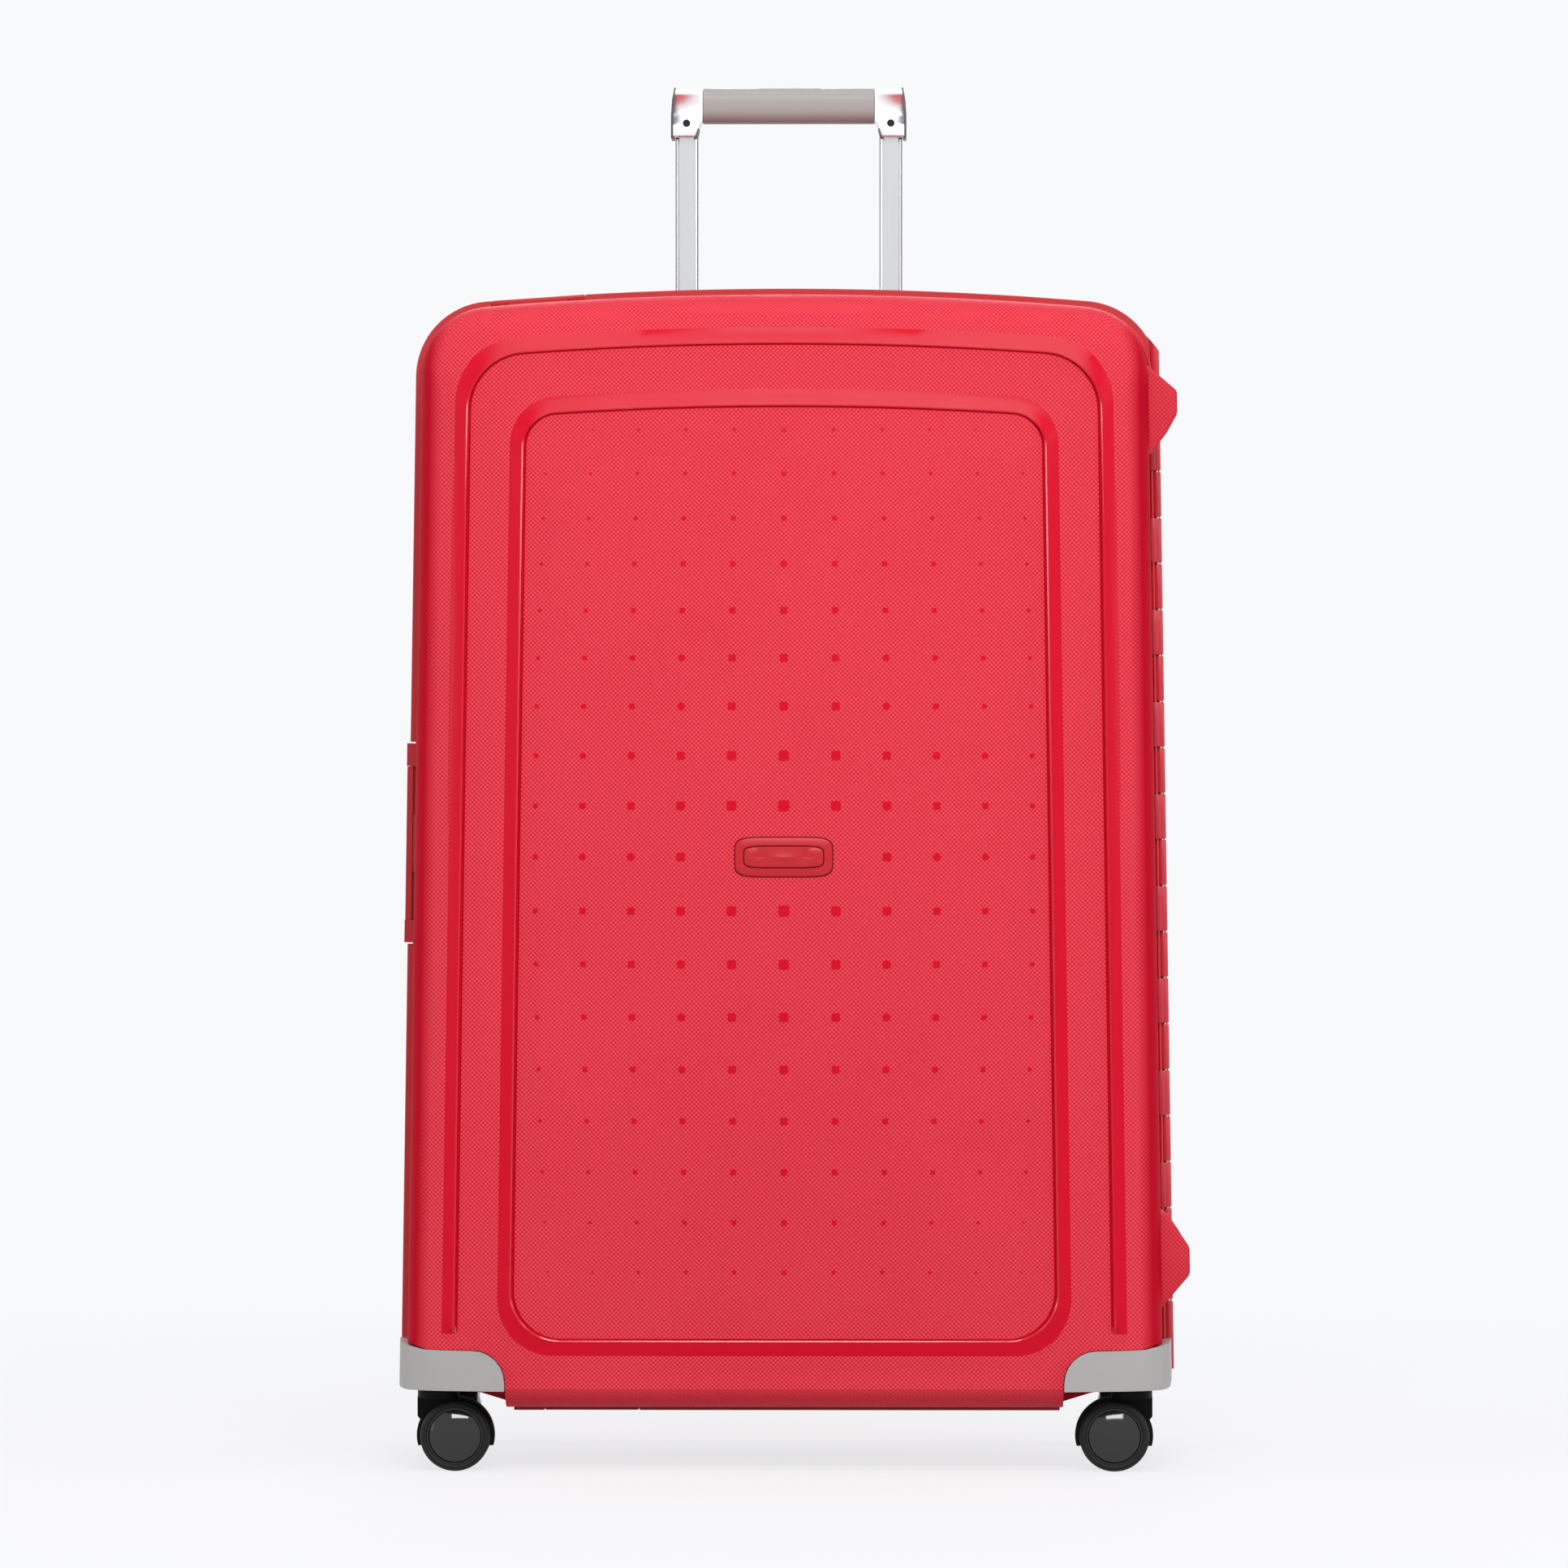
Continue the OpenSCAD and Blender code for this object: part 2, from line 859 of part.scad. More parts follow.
module lock_cylinder() {
    color(steel)
        on_side(lock_z)
            difference() {
                translate([cylinder_a, dial_y, 0]) cylinder(r = cylinder_r, h = lock_high);
                translate([cylinder_a - 0.6, dial_y - 3, lock_high - 1.5]) cube([1.2, 6, 5]);
            }
}

// A carry handle that folds back flat, with its pivot at depth y
module bail(y) {
    half = handle_w / 2 - bail_room;
    translate([0, y, handle_n]) {
        for (side = [-1, 1])
            translate([side > 0 ? half - bail_arm : -half, 0, 0]) {
                translate([0, 0, -bail_t / 2]) cube([bail_arm, bail_reach, bail_t]);
                rotate([0, 90, 0]) cylinder(r = bail_t / 2, h = bail_arm);
            }
        translate([-half, bail_reach - bail_bar, -bail_t / 2])
            cube([2 * half, bail_bar, bail_t]);
        rotate([0, 90, 0])
            cylinder(r = handle_pin_r, h = handle_w + mount_l, center = true);
    }
}

// The two blocks that hold a carry handle
module bail_mounts(y) {
    for (side = [-1, 1])
        difference() {
            translate([side > 0 ? handle_w / 2 : -handle_w / 2 - mount_l, y - 8, -8])
                cube([mount_l, bail_reach + 8, 8 + handle_n + bail_t / 2]);
            translate([side * (handle_w / 2 + mount_l / 4 - 1), y, handle_n])
                rotate([0, 90, 0])
                    cylinder(r = handle_pin_r + pin_room, h = mount_l / 2 + 3, center = true);
        }
}

module top_handle() {
    color(black_plastic) on_top(0) bail(top_handle_y);
}

module side_handle() {
    color(black_plastic) on_side(lock_z) bail(side_handle_y);
}

module top_handle_mounts() {
    color(black_plastic)
        difference() {
            on_top(0) bail_mounts(top_handle_y);
            in_rear() half_block(-tiny);
        }
}

module side_handle_mounts() {
    color(black_plastic)
        difference() {
            on_side(lock_z) bail_mounts(side_handle_y);
            in_rear() half_block(-tiny);
        }
}

// Draws its child once at each tube
module at_tubes() {
    for (side = [-1, 1])
        translate([side * tube_gap / 2, tube_y, 0])
            children();
}

module tube(w, d, t, z0, z1) {
    translate([0, 0, z0])
        linear_extrude(z1 - z0)
            difference() {
                polygon(round_rect(w, d, 3));
                polygon(round_rect(w - 2 * t, d - 2 * t, 2));
            }
}

module trolley_well() {
    color(black_plastic)
        difference() {
            intersection() {
                cup_outer(0);
                translate([-reach, 0, 0]) cube([2 * reach, reach, boss_top + 1]);
            }
            translate([cup_wall - cup_w / 2, tube_y - cup_d / 2 + cup_wall, well_floor])
                cube([cup_w - 2 * cup_wall, cup_d - 2 * cup_wall, 100]);
            at_tubes()
                translate([0, 0, well_floor - 10])
                    linear_extrude(20) polygon(round_rect(middle_w + 1, middle_d + 1, 3));
        }
}

module trolley_outer_tubes() {
    color(steel)
        at_tubes() tube(outer_w, outer_d, outer_wall, outer_low, well_floor - cup_floor_t - tiny);
}

module trolley_foot() {
    low = 100;
    color(black_plastic)
        difference() {
            intersection() {
                translate([-95, tube_y - 15, low]) cube([190, 60, 25]);
                in_rear() half_block(wall + tiny);
            }
            at_tubes()
                translate([0, 0, outer_low - tiny])
                    linear_extrude(20) polygon(round_rect(outer_w + 0.1, outer_d + 0.1, 3));
        }
}

module trolley_middle_tubes() {
    color(tube_silver)
        at_tubes() tube(middle_w, middle_d, tube_wall, middle_low, middle_top);
}

module trolley_collars() {
    color(black_plastic)
        at_tubes() tube(middle_w + 3, middle_d + 3, 2.7, middle_top + tiny, middle_top + 2);
}

module trolley_upper_tubes() {
    color(tube_silver)
        at_tubes() tube(upper_w, upper_d, tube_wall, upper_low, socket_top);
}

module trolley_guides() {
    color(black_plastic)
        at_tubes() tube(upper_w + 0.6, upper_d + 0.6, 2.2, guide_low, upper_low - tiny);
}

module trolley_grip() {
    color(grip_grey)
        difference() {
            translate([-grip_half, tube_y, grip_top - grip_h / 2])
                rotate([90, 0, 90])
                    linear_extrude(2 * grip_half)
                        polygon(round_rect(grip_d, grip_h, 9));
            translate([-reach, tube_y - channel_half, channel_low])
                cube([2 * reach, 2 * channel_half, channel_h]);
            translate([-button_w / 2 - 0.4, tube_y - button_d / 2 - 0.4, bar_high - 3])
                cube([button_w + 0.8, button_d + 0.8, 50]);
        }
}

module grip_bracket(side) {
    mid = (grip_half + tiny + bracket_out) / 2;
    color(tube_silver)
        mirror([side > 0 ? 0 : 1, 0, 0])
            difference() {
                translate([mid, tube_y, bracket_low])
                    linear_extrude(bracket_top - bracket_low)
                        polygon(round_rect(bracket_out - grip_half - tiny, bracket_d, 4));
                translate([tube_gap / 2, tube_y, bracket_low - 1])
                    linear_extrude(socket_top - bracket_low + 1 + tiny)
                        polygon(round_rect(upper_w + 0.1, upper_d + 0.1, 3));
                translate([0, tube_y - channel_half, channel_low])
                    cube([tube_gap / 2 + 4, 2 * channel_half, channel_h]);
                translate([tube_gap / 2, tube_y - bracket_d / 2, screw_z])
                    rotate([90, 0, 0])
                        cylinder(r = screw_r + 0.1, h = 2 * screw_deep, center = true);
            }
}

module grip_bracket_left() { grip_bracket(-1); }
module grip_bracket_right() { grip_bracket(1); }

module grip_screws() {
    color(steel)
        for (side = [-1, 1])
            translate([side * tube_gap / 2, tube_y - bracket_d / 2 + screw_deep - tiny, screw_z])
                rotate([90, 0, 0])
                    difference() {
                        cylinder(r = screw_r, h = screw_h);
                        translate([0, 0, screw_h - 1]) cylinder(r = screw_r / 2, h = 5, $fn = 6);
                    }
}

module release_button() {
    color(black_plastic) {
        translate([-button_w / 2, tube_y - button_d / 2, grip_top - button_h])
            cube([button_w, button_d, button_h]);
        translate([-4, tube_y - 2, bar_high + tiny])
            cube([8, 4, grip_top - button_h - bar_high]);
    }
}

module release_rods() {
    color(steel) {
        translate([-tube_gap / 2 - 1.5, tube_y - 2, bar_low])
            cube([tube_gap + 3, 4, bar_high - bar_low]);
        at_tubes()
            translate([0, 0, upper_low + 6])
                cylinder(r = rod_r, h = bar_low - upper_low - 5);
    }
}

// Swivel stem at the front right, with the collar that holds the fork up
module stem() {
    translate([swivel_x, -swivel_y, stem_low]) {
        cylinder(r = stem_r, h = stem_h);
        cylinder(r = stem_collar_r, h = stem_collar_t);
    }
}

module stems_front() {
    color(steel) {
        at_corner(false, false) stem();
        at_corner(true, false) stem();
    }
}

module stems_rear() {
    color(steel) {
        at_corner(false, true) stem();
        at_corner(true, true) stem();
    }
}

// Fork about its swivel axis: a head under the bumper and a web between the two wheels
module fork() {
    hood_low = wheel_r - 7;
    difference() {
        union() {
            translate([0, 0, head_low]) cylinder(r = head_r, h = bumper_z + head_in - head_low);
            translate([0, web_t / 2, 0])
                rotate([90, 0, 0])
                    linear_extrude(web_t) {
                        intersection() {
                            translate([-trail, wheel_r]) circle(r = hood_r);
                            translate([-60, hood_low]) square([120, 60]);
                        }
                        polygon([
                            [-trail, wheel_r], [head_r - 5, wheel_r + 7],
                            [head_r, wheel_r + 13], [head_r, head_low + 1], [-trail, head_low + 1]]);
                    }
        }
        translate([0, 0, stem_low]) cylinder(r = stem_r + pin_room, h = 40);
        translate([0, 0, head_low])
            cylinder(r = stem_collar_r + 0.3, h = stem_low + stem_collar_t + 0.3 - head_low);
        translate([-trail, 0, wheel_r])
            rotate([90, 0, 0])
                cylinder(r = axle_r + pin_room, h = 40, center = true);
    }
}

module fork_at(right, rear) {
    color(black_plastic) caster_at(right, rear) fork();
}

module fork_front_left() { fork_at(false, false); }
module fork_front_right() { fork_at(true, false); }
module fork_rear_left() { fork_at(false, true); }
module fork_rear_right() { fork_at(true, true); }

// Draws a piece that turns on the axle
module on_axle() {
    translate([-trail, 0, wheel_r])
        rotate([90, 0, 0])
            children();
}

module axle_at(right, rear) {
    color(steel)
        caster_at(right, rear)
            on_axle()
                cylinder(r = axle_r, h = axle_l, center = true);
}

module axle_front_left() { axle_at(false, false); }
module axle_front_right() { axle_at(true, false); }
module axle_rear_left() { axle_at(false, true); }
module axle_rear_right() { axle_at(true, true); }

module hubs_at(right, rear) {
    dome = concat(
        [[axle_r, hub_in], [hub_r, hub_in], [hub_r, hub_side]],
        [for (k = [0:8]) let (s = 1 - k / 8) [(hub_r - 0.8) * s, hub_out - hub_dome * pow(s, 2.4)]],
        [[0, hub_floor], [axle_r, hub_floor]]);
    color(black_plastic)
        caster_at(right, rear)
            on_axle()
                for (side = [0, 1])
                    mirror([0, 0, side])
                        rotate_extrude() polygon(dome);
}

module hubs_front_left() { hubs_at(false, false); }
module hubs_front_right() { hubs_at(true, false); }
module hubs_rear_left() { hubs_at(false, true); }
module hubs_rear_right() { hubs_at(true, true); }

module tyres_at(right, rear) {
    section = concat(
        [[hub_r + tiny, tyre_in]],
        arc(wheel_r - tyre_r, tyre_in + tyre_r, tyre_r, -90, 0, 5),
        arc(wheel_r - tyre_r, tyre_out - tyre_r, tyre_r, 0, 90, 5),
        [[hub_r + tiny, tyre_out]]);
    color(tread_grey)
        caster_at(right, rear)
            on_axle()
                for (side = [0, 1])
                    mirror([0, 0, side])
                        rotate_extrude() polygon(section);
}

module tyres_front_left() { tyres_at(false, false); }
module tyres_front_right() { tyres_at(true, false); }
module tyres_rear_left() { tyres_at(false, true); }
module tyres_rear_right() { tyres_at(true, true); }

front_shell();
rear_shell();
badge();
hinge_pin();
bumper_front_left();
bumper_front_right();
bumper_rear_left();
bumper_rear_right();
divider_panel();
divider_zip();
zip_slider();
rear_lining();
packing_straps();
strap_buckle();
top_latch();
side_latch();
bottom_latch();
latch_pins();
latch_keepers();
lock_housing();
lock_dial_1();
lock_dial_2();
lock_dial_3();
lock_slider();
lock_cylinder();
top_handle();
side_handle();
top_handle_mounts();
side_handle_mounts();
trolley_well();
trolley_outer_tubes();
trolley_foot();
trolley_middle_tubes();
trolley_collars();
trolley_upper_tubes();
trolley_guides();
trolley_grip();
grip_bracket_left();
grip_bracket_right();
grip_screws();
release_button();
release_rods();
stems_front();
stems_rear();
fork_front_left();
fork_front_right();
fork_rear_left();
fork_rear_right();
axle_front_left();
axle_front_right();
axle_rear_left();
axle_rear_right();
hubs_front_left();
hubs_front_right();
hubs_rear_left();
hubs_rear_right();
tyres_front_left();
tyres_front_right();
tyres_rear_left();
tyres_rear_right();
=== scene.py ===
# %% [markdown]
# An upright hard-shell suitcase on four casters.
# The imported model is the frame: its bodies, joints and sizes are fixed, and this lesson dresses it.
# Every finished piece is in metres and rides on one of the frame's bodies.

# %% Load the frame
import json
import math

import bpy
from mathutils import Matrix, Vector

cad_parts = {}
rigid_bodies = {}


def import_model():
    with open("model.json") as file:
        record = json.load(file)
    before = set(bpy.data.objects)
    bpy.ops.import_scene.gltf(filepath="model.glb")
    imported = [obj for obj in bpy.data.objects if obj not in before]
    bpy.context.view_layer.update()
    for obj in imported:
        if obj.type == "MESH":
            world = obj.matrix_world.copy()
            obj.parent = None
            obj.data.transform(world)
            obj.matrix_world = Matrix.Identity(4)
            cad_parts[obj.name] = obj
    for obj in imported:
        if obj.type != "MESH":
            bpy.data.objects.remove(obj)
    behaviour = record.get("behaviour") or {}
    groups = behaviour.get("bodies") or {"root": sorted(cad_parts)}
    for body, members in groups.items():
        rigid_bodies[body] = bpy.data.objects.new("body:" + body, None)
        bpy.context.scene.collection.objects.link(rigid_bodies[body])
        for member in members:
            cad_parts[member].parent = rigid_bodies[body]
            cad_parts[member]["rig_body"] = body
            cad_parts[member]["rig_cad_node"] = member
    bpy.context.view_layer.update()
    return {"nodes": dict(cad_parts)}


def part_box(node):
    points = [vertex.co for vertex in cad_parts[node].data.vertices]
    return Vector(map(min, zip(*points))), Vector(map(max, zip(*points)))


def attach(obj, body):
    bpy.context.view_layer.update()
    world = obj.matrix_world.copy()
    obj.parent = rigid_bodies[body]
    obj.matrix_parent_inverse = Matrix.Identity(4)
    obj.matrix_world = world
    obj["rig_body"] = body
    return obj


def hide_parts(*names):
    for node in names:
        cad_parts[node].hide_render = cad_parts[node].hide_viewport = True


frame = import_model()
nodes = frame["nodes"]
MM = 0.001

# %% [markdown]
# The camera stands six metres away with a long lens, a little to the right of the case and level with
# its middle. A long lens keeps the sides almost hidden, as in a catalogue picture.

# %% Camera
VIEW_Z = 0.4668
long_lens = bpy.data.cameras.new("catalogue_camera")
long_lens.lens = 198.86
long_lens.sensor_width = 36
camera = bpy.data.objects.new("catalogue_camera", long_lens)
bpy.context.scene.collection.objects.link(camera)
camera.location = (0.075, -6.0, VIEW_Z)
look_at = Vector((0, -0.15, VIEW_Z))
camera.rotation_euler = (look_at - camera.location).to_track_quat("-Z", "Y").to_euler()
bpy.context.scene.camera = camera
bpy.context.scene.view_settings.view_transform = "Standard"
print("camera", round(long_lens.lens), "mm")

# %% [markdown]
# Shader nodes are easier to read when one short call makes a node, sets it and joins its inputs.
# A value is set on the socket, and a socket of another node is linked to it.


# %% A short way to place nodes
def place(tree, kind, inputs=None, **settings):
    """One node, with its settings, its values and its links."""
    made = tree.nodes.new("ShaderNode" + kind)
    for name, value in settings.items():
        setattr(made, name, value)
    for name, value in (inputs or {}).items():
        if isinstance(value, bpy.types.NodeSocket):
            tree.links.new(value, made.inputs[name])
        else:
            made.inputs[name].default_value = value
    return made


def reckon(tree, how, *values):
    """The result of one arithmetic node."""
    return place(tree, "Math", dict(enumerate(values)), operation=how).outputs[0]


print("node helpers ready")

# %% [markdown]
# The studio is a pale sweep with soft light. Rays from the camera and from gloss see the pale colour
# itself, so the backdrop stays even, while all other rays see a dimmer sky that only fills the shadows.

# %% Backdrop
PALE = (0.939, 0.947, 0.965, 1)
SKY_FILL = 0.30


def sees_backdrop(tree):
    """1 for a ray that should see the pale backdrop, 0 for the rest."""
    ray = place(tree, "LightPath").outputs
    gloss = reckon(tree, "MAXIMUM", ray["Is Camera Ray"], ray["Is Glossy Ray"])
    return reckon(tree, "MAXIMUM", gloss, ray["Is Transmission Ray"])


world = bpy.data.worlds.new("studio")
bpy.context.scene.world = world
world.use_nodes = True
air = world.node_tree
air.nodes.clear()
fill = place(air, "Background", {"Color": (1, 1, 1, 1), "Strength": SKY_FILL})
backdrop = place(air, "Background", {"Color": PALE, "Strength": 1.0})
choose = place(air, "MixShader", {0: sees_backdrop(air), 1: fill.outputs[0], 2: backdrop.outputs[0]})
place(air, "OutputWorld", {"Surface": choose.outputs[0]})
print("backdrop ready")

# %% [markdown]
# The floor is a matt plane that takes the shadow of the case. Seen from the camera it melts into the
# backdrop with distance.

# %% Floor
FLOOR_BOUNCE = (0.62, 0.62, 0.62, 1)
FLOOR_SIZE = 60
MELT_START = 0.4
MELT_END = 2.2
MELT_NEAR = 0.80
floor_finish = bpy.data.materials.new("pale_floor")
floor_finish.use_nodes = True
ground = floor_finish.node_tree
ground.nodes.clear()
bounce = place(ground, "Mix", {0: sees_backdrop(ground), 6: FLOOR_BOUNCE, 7: PALE}, data_type="RGBA")
matt = place(ground, "BsdfDiffuse", {"Color": bounce.outputs[2]})
glow = place(ground, "Emission", {"Color": PALE, "Strength": 1.0})
here = place(ground, "TexCoord")
away = place(ground, "VectorMath", {0: here.outputs["Object"]}, operation="LENGTH")
melt = place(ground, "MapRange", {"Value": away.outputs["Value"], "From Min": MELT_START,
                                  "From Max": MELT_END, "To Min": MELT_NEAR, "To Max": 1.0})
share = reckon(ground, "MULTIPLY", melt.outputs[0], sees_backdrop(ground))
blend = place(ground, "MixShader", {0: share, 1: matt.outputs[0], 2: glow.outputs[0]})
place(ground, "OutputMaterial", {"Surface": blend.outputs[0]})

bpy.ops.object.select_all(action="DESELECT")
bpy.ops.mesh.primitive_plane_add(size=FLOOR_SIZE)
floor = bpy.context.object
floor.name = "floor"
floor.data.materials.append(floor_finish)
print("floor ready")

# %% [markdown]
# Soft boxes light the case. A wide one high in front gives the upper ribs their sheen, one on each side
# shapes the rounded edges, a strip on each side draws the fine lines of the ribs, and boxes overhead and
# behind keep the top and the back from falling dark. The camera looks through all of them.


# %% Lamps
def soft_box(name, at, aim, size, power):
    lamp = bpy.data.lights.new(name, "AREA")
    lamp.shape = "RECTANGLE"
    lamp.size = size[0]
    lamp.size_y = size[1]
    lamp.energy = power
    holder = bpy.data.objects.new(name, lamp)
    bpy.context.scene.collection.objects.link(holder)
    holder.location = at
    holder.rotation_euler = (Vector(aim) - Vector(at)).to_track_quat("-Z", "Y").to_euler()
    holder.visible_camera = False


MIDDLE = (0, 0, 0.5)
soft_box("overhead_box", (0, -0.3, 3.2), MIDDLE, (2.6, 2.0), 19)
soft_box("front_box", (0.3, -3.7, 2.75), MIDDLE, (2.4, 1.0), 108)
soft_box("left_box", (-3.2, -2.2, 1.6), MIDDLE, (1.6, 2.4), 9)
soft_box("right_box", (3.2, -2.2, 1.9), MIDDLE, (0.9, 1.2), 13)
soft_box("back_box", (0, 4.5, 2.6), MIDDLE, (2.0, 1.4), 85)
for side in (-1, 1):
    soft_box("side_strip", (3.0 * side, -0.3, 0.95), (0, -0.3, 0.95), (0.45, 1.0), 9)
print("seven soft boxes ready")

# %% [markdown]
# Modelling starts with a few hand tools. The first ones select a piece, clean its mesh, skin a row of
# rings, and push a flat outline into a solid.


# %% Tools that make pieces
def clear():
    """Nothing stays selected, so that an operator acts on the new piece alone."""
    bpy.ops.object.select_all(action="DESELECT")


def pick(piece):
    clear()
    piece.select_set(True)
    bpy.context.view_layer.objects.active = piece


def all_in_edit():
    """Opens the active piece for editing with everything in it selected."""
    bpy.ops.object.mode_set(mode="EDIT")
    bpy.ops.mesh.select_all(action="SELECT")


def tidy_mesh(piece, merge=0.001):
    """Merges doubled points and turns every face outwards."""
    pick(piece)
    all_in_edit()
    bpy.ops.mesh.remove_doubles(threshold=merge * MM)
    bpy.ops.mesh.normals_make_consistent(inside=False)
    bpy.ops.object.mode_set(mode="OBJECT")


def loft(name, rings, zones=(), finishes=()):
    """A skin over closed rings of points, in millimetres; zones gives each face one of the finishes."""
    around = len(rings[0])
    clear()
    bpy.ops.mesh.primitive_grid_add(x_subdivisions=around, y_subdivisions=len(rings) - 1, size=1)
    piece = bpy.context.object
    piece.name = name
    spots = [Vector(point) * MM for ring in rings for point in (*ring, ring[0])]
    piece.data.vertices.foreach_set("co", [number for point in spots for number in point])
    for finish in finishes:
        piece.data.materials.append(finish)
    if zones:
        piece.data.polygons.foreach_set("material_index", [zone for strip in zones for zone in strip])
    tidy_mesh(piece)
    return piece


def prism(name, points, push):
    """A flat outline in millimetres, filled and pushed out along a vector."""
    clear()
    bpy.ops.mesh.primitive_circle_add(vertices=len(points), fill_type="NGON")
    piece = bpy.context.object
    piece.name = name
    for vertex, point in zip(piece.data.vertices, points):
        vertex.co = Vector(point) * MM
    all_in_edit()
    bpy.ops.mesh.extrude_region_move(TRANSFORM_OT_translate={"value": Vector(push) * MM})
    bpy.ops.object.mode_set(mode="OBJECT")
    tidy_mesh(piece)
    return piece


def ring_of(r, count):
    """Points of a circle round the origin."""
    turns = [2 * math.pi * k / count for k in range(count)]
    return [(r * math.cos(turn), r * math.sin(turn)) for turn in turns]


def stamp(name, first, spot, axes, size):
    """A copy of a unit piece with a mesh of its own, scaled along three axes and set on a spot."""
    copy = bpy.data.objects.new(name, first.data.copy())
    bpy.context.scene.collection.objects.link(copy)
    turn = Matrix(axes).transposed().to_4x4()
    grown = Matrix.Diagonal((*size, 1))
    copy.data.transform(Matrix.Scale(MM, 4) @ Matrix.Translation(spot) @ turn @ grown)
    return copy


print("making tools ready")

# %% [markdown]
# The other tools shade a piece, round its edges, cut one piece with another, and give a finished piece
# its materials, its body and the nodes that it stands for.


# %% Tools that finish pieces
def smooth(piece, angle=32):
    pick(piece)
    bpy.ops.object.shade_smooth_by_angle(angle=math.radians(angle))


def apply_to(piece, modifier):
    pick(piece)
    bpy.ops.object.modifier_apply(modifier=modifier.name)


def round_edges(piece, width, steps=2, angle=30):
    """Rounds the sharp edges, as a mould or a press leaves them."""
    bevel = piece.modifiers.new("rounding", "BEVEL")
    bevel.width = width * MM
    bevel.segments = steps
    bevel.limit_method = "ANGLE"
    bevel.angle_limit = math.radians(angle)
    apply_to(piece, bevel)
    smooth(piece)


def flat_faces(piece):
    """Keeps the shading of large faces flat, so that only the rounded edges bend it."""
    even = piece.modifiers.new("flat_faces", "WEIGHTED_NORMAL")
    even.keep_sharp = True
    apply_to(piece, even)


def carve(piece, tool, how="DIFFERENCE"):
    """Cuts, joins or intersects a closed piece with a closed tool, which is used up.
    Faces that come from a bare tool get the first finish of the piece."""
    knife = piece.modifiers.new("carving", "BOOLEAN")
    knife.operation = how
    knife.solver = "MANIFOLD"
    knife.object = tool
    apply_to(piece, knife)
    bpy.data.objects.remove(tool)
    slots = piece.data.materials
    bare = [index for index, finish in enumerate(slots) if finish is None]
    for polygon in piece.data.polygons:
        if polygon.material_index in bare:
            polygon.material_index = 0
    for index in reversed(bare):
        slots.pop(index=index)


def join(name, pieces):
    clear()
    for piece in pieces:
        piece.select_set(True)
    bpy.context.view_layer.objects.active = pieces[0]
    bpy.ops.object.join()
    pieces[0].name = name
    return pieces[0]


def settle(piece, body, finishes=None, stands_for=()):
    if finishes:
        piece.data.materials.clear()
        for finish in finishes:
            piece.data.materials.append(finish)
    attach(piece, body)
    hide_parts(*stands_for)
    print(piece.name, "on", body, len(piece.data.polygons), "faces")
    return piece


print("finishing tools ready")

# %% [markdown]
# Patterns that several finishes share are node groups. The first is the fine grid that the mould
# leaves on the red shells: rows of small bumps 3 mm apart, set in a checker. It is drawn on the three
# main planes and mixed by the way the surface faces, so it wraps the rounded edges without stretching.
# Its second output, the tone, is painted sheen on the crests of the bumps and painted shade in their hollows.
# On the flanks the grid fades out, and a third output says where that is; there the colour takes a painted
# shade.


# %% Node group for the moulded grid
def start_group(name, inputs, outputs):
    tree = bpy.data.node_groups.new(name, "ShaderNodeTree")
    for label, kind, value in inputs:
        socket = tree.interface.new_socket(label, in_out="INPUT", socket_type="NodeSocket" + kind)
        if value is not None:
            socket.default_value = value
    for label, kind in outputs:
        tree.interface.new_socket(label, in_out="OUTPUT", socket_type="NodeSocket" + kind)
    entry = tree.nodes.new("NodeGroupInput")
    leave = tree.nodes.new("NodeGroupOutput")
    return tree, entry.outputs, leave.inputs


FLANK_START = 0.30
FLANK_FULL = 0.66
TONE_MOST = 0.94
grid_tree, grid_in, grid_out = start_group(
    "moulded_grid",
    [("Coordinates", "Vector", None), ("Facing", "Vector", None), ("Pitch", "Float", 0.00295)],
    [("Height", "Float"), ("Tone", "Float"), ("Flank", "Float")])
turns = reckon(grid_tree, "DIVIDE", 2 * math.pi, grid_in["Pitch"])
phase = place(grid_tree, "VectorMath", {0: grid_in["Coordinates"], "Scale": turns}, operation="SCALE")
waves = place(grid_tree, "VectorMath", {0: phase.outputs[0]}, operation="COSINE")
wave = place(grid_tree, "SeparateXYZ", {0: waves.outputs[0]}).outputs
facing = grid_in["Facing"]
square = place(grid_tree, "VectorMath", {0: facing, 1: facing}, operation="MULTIPLY").outputs[0]
fourth = place(grid_tree, "VectorMath", {0: square, 1: square}, operation="MULTIPLY").outputs[0]
weight = place(grid_tree, "SeparateXYZ", {0: fourth}).outputs
total = place(grid_tree, "VectorMath", {0: fourth, 1: (1, 1, 1)}, operation="DOT_PRODUCT")
planes = []
for first, second, across in (("X", "Z", "Y"), ("Y", "Z", "X"), ("X", "Y", "Z")):
    checker = reckon(grid_tree, "MULTIPLY", wave[first], wave[second])
    planes.append(reckon(grid_tree, "MULTIPLY", checker, weight[across]))
two = reckon(grid_tree, "ADD", planes[0], planes[1])
three = reckon(grid_tree, "ADD", two, planes[2])
even = reckon(grid_tree, "DIVIDE", three, total.outputs["Value"])
sideways = place(grid_tree, "SeparateXYZ", {0: square}).outputs["X"]
# Where the surface turns sideways the bumps fade, and the colour turns to painted shade
flank = place(grid_tree, "MapRange", {"Value": sideways, "From Min": FLANK_START, "From Max": FLANK_FULL})
face_on = reckon(grid_tree, "SUBTRACT", 1.0, flank.outputs[0])
# Painted sheen and shade: the crests of the bumps turn light in the colour and their hollows dark
shade = place(grid_tree, "MapRange", {"Value": even, "From Min": -1.0, "From Max": 1.0,
                                      "To Max": TONE_MOST})
grid_tree.links.new(flank.outputs[0], grid_out["Flank"])
grid_tree.links.new(reckon(grid_tree, "MULTIPLY", even, face_on), grid_out["Height"])
grid_tree.links.new(shade.outputs[0], grid_out["Tone"])
print("moulded grid ready")

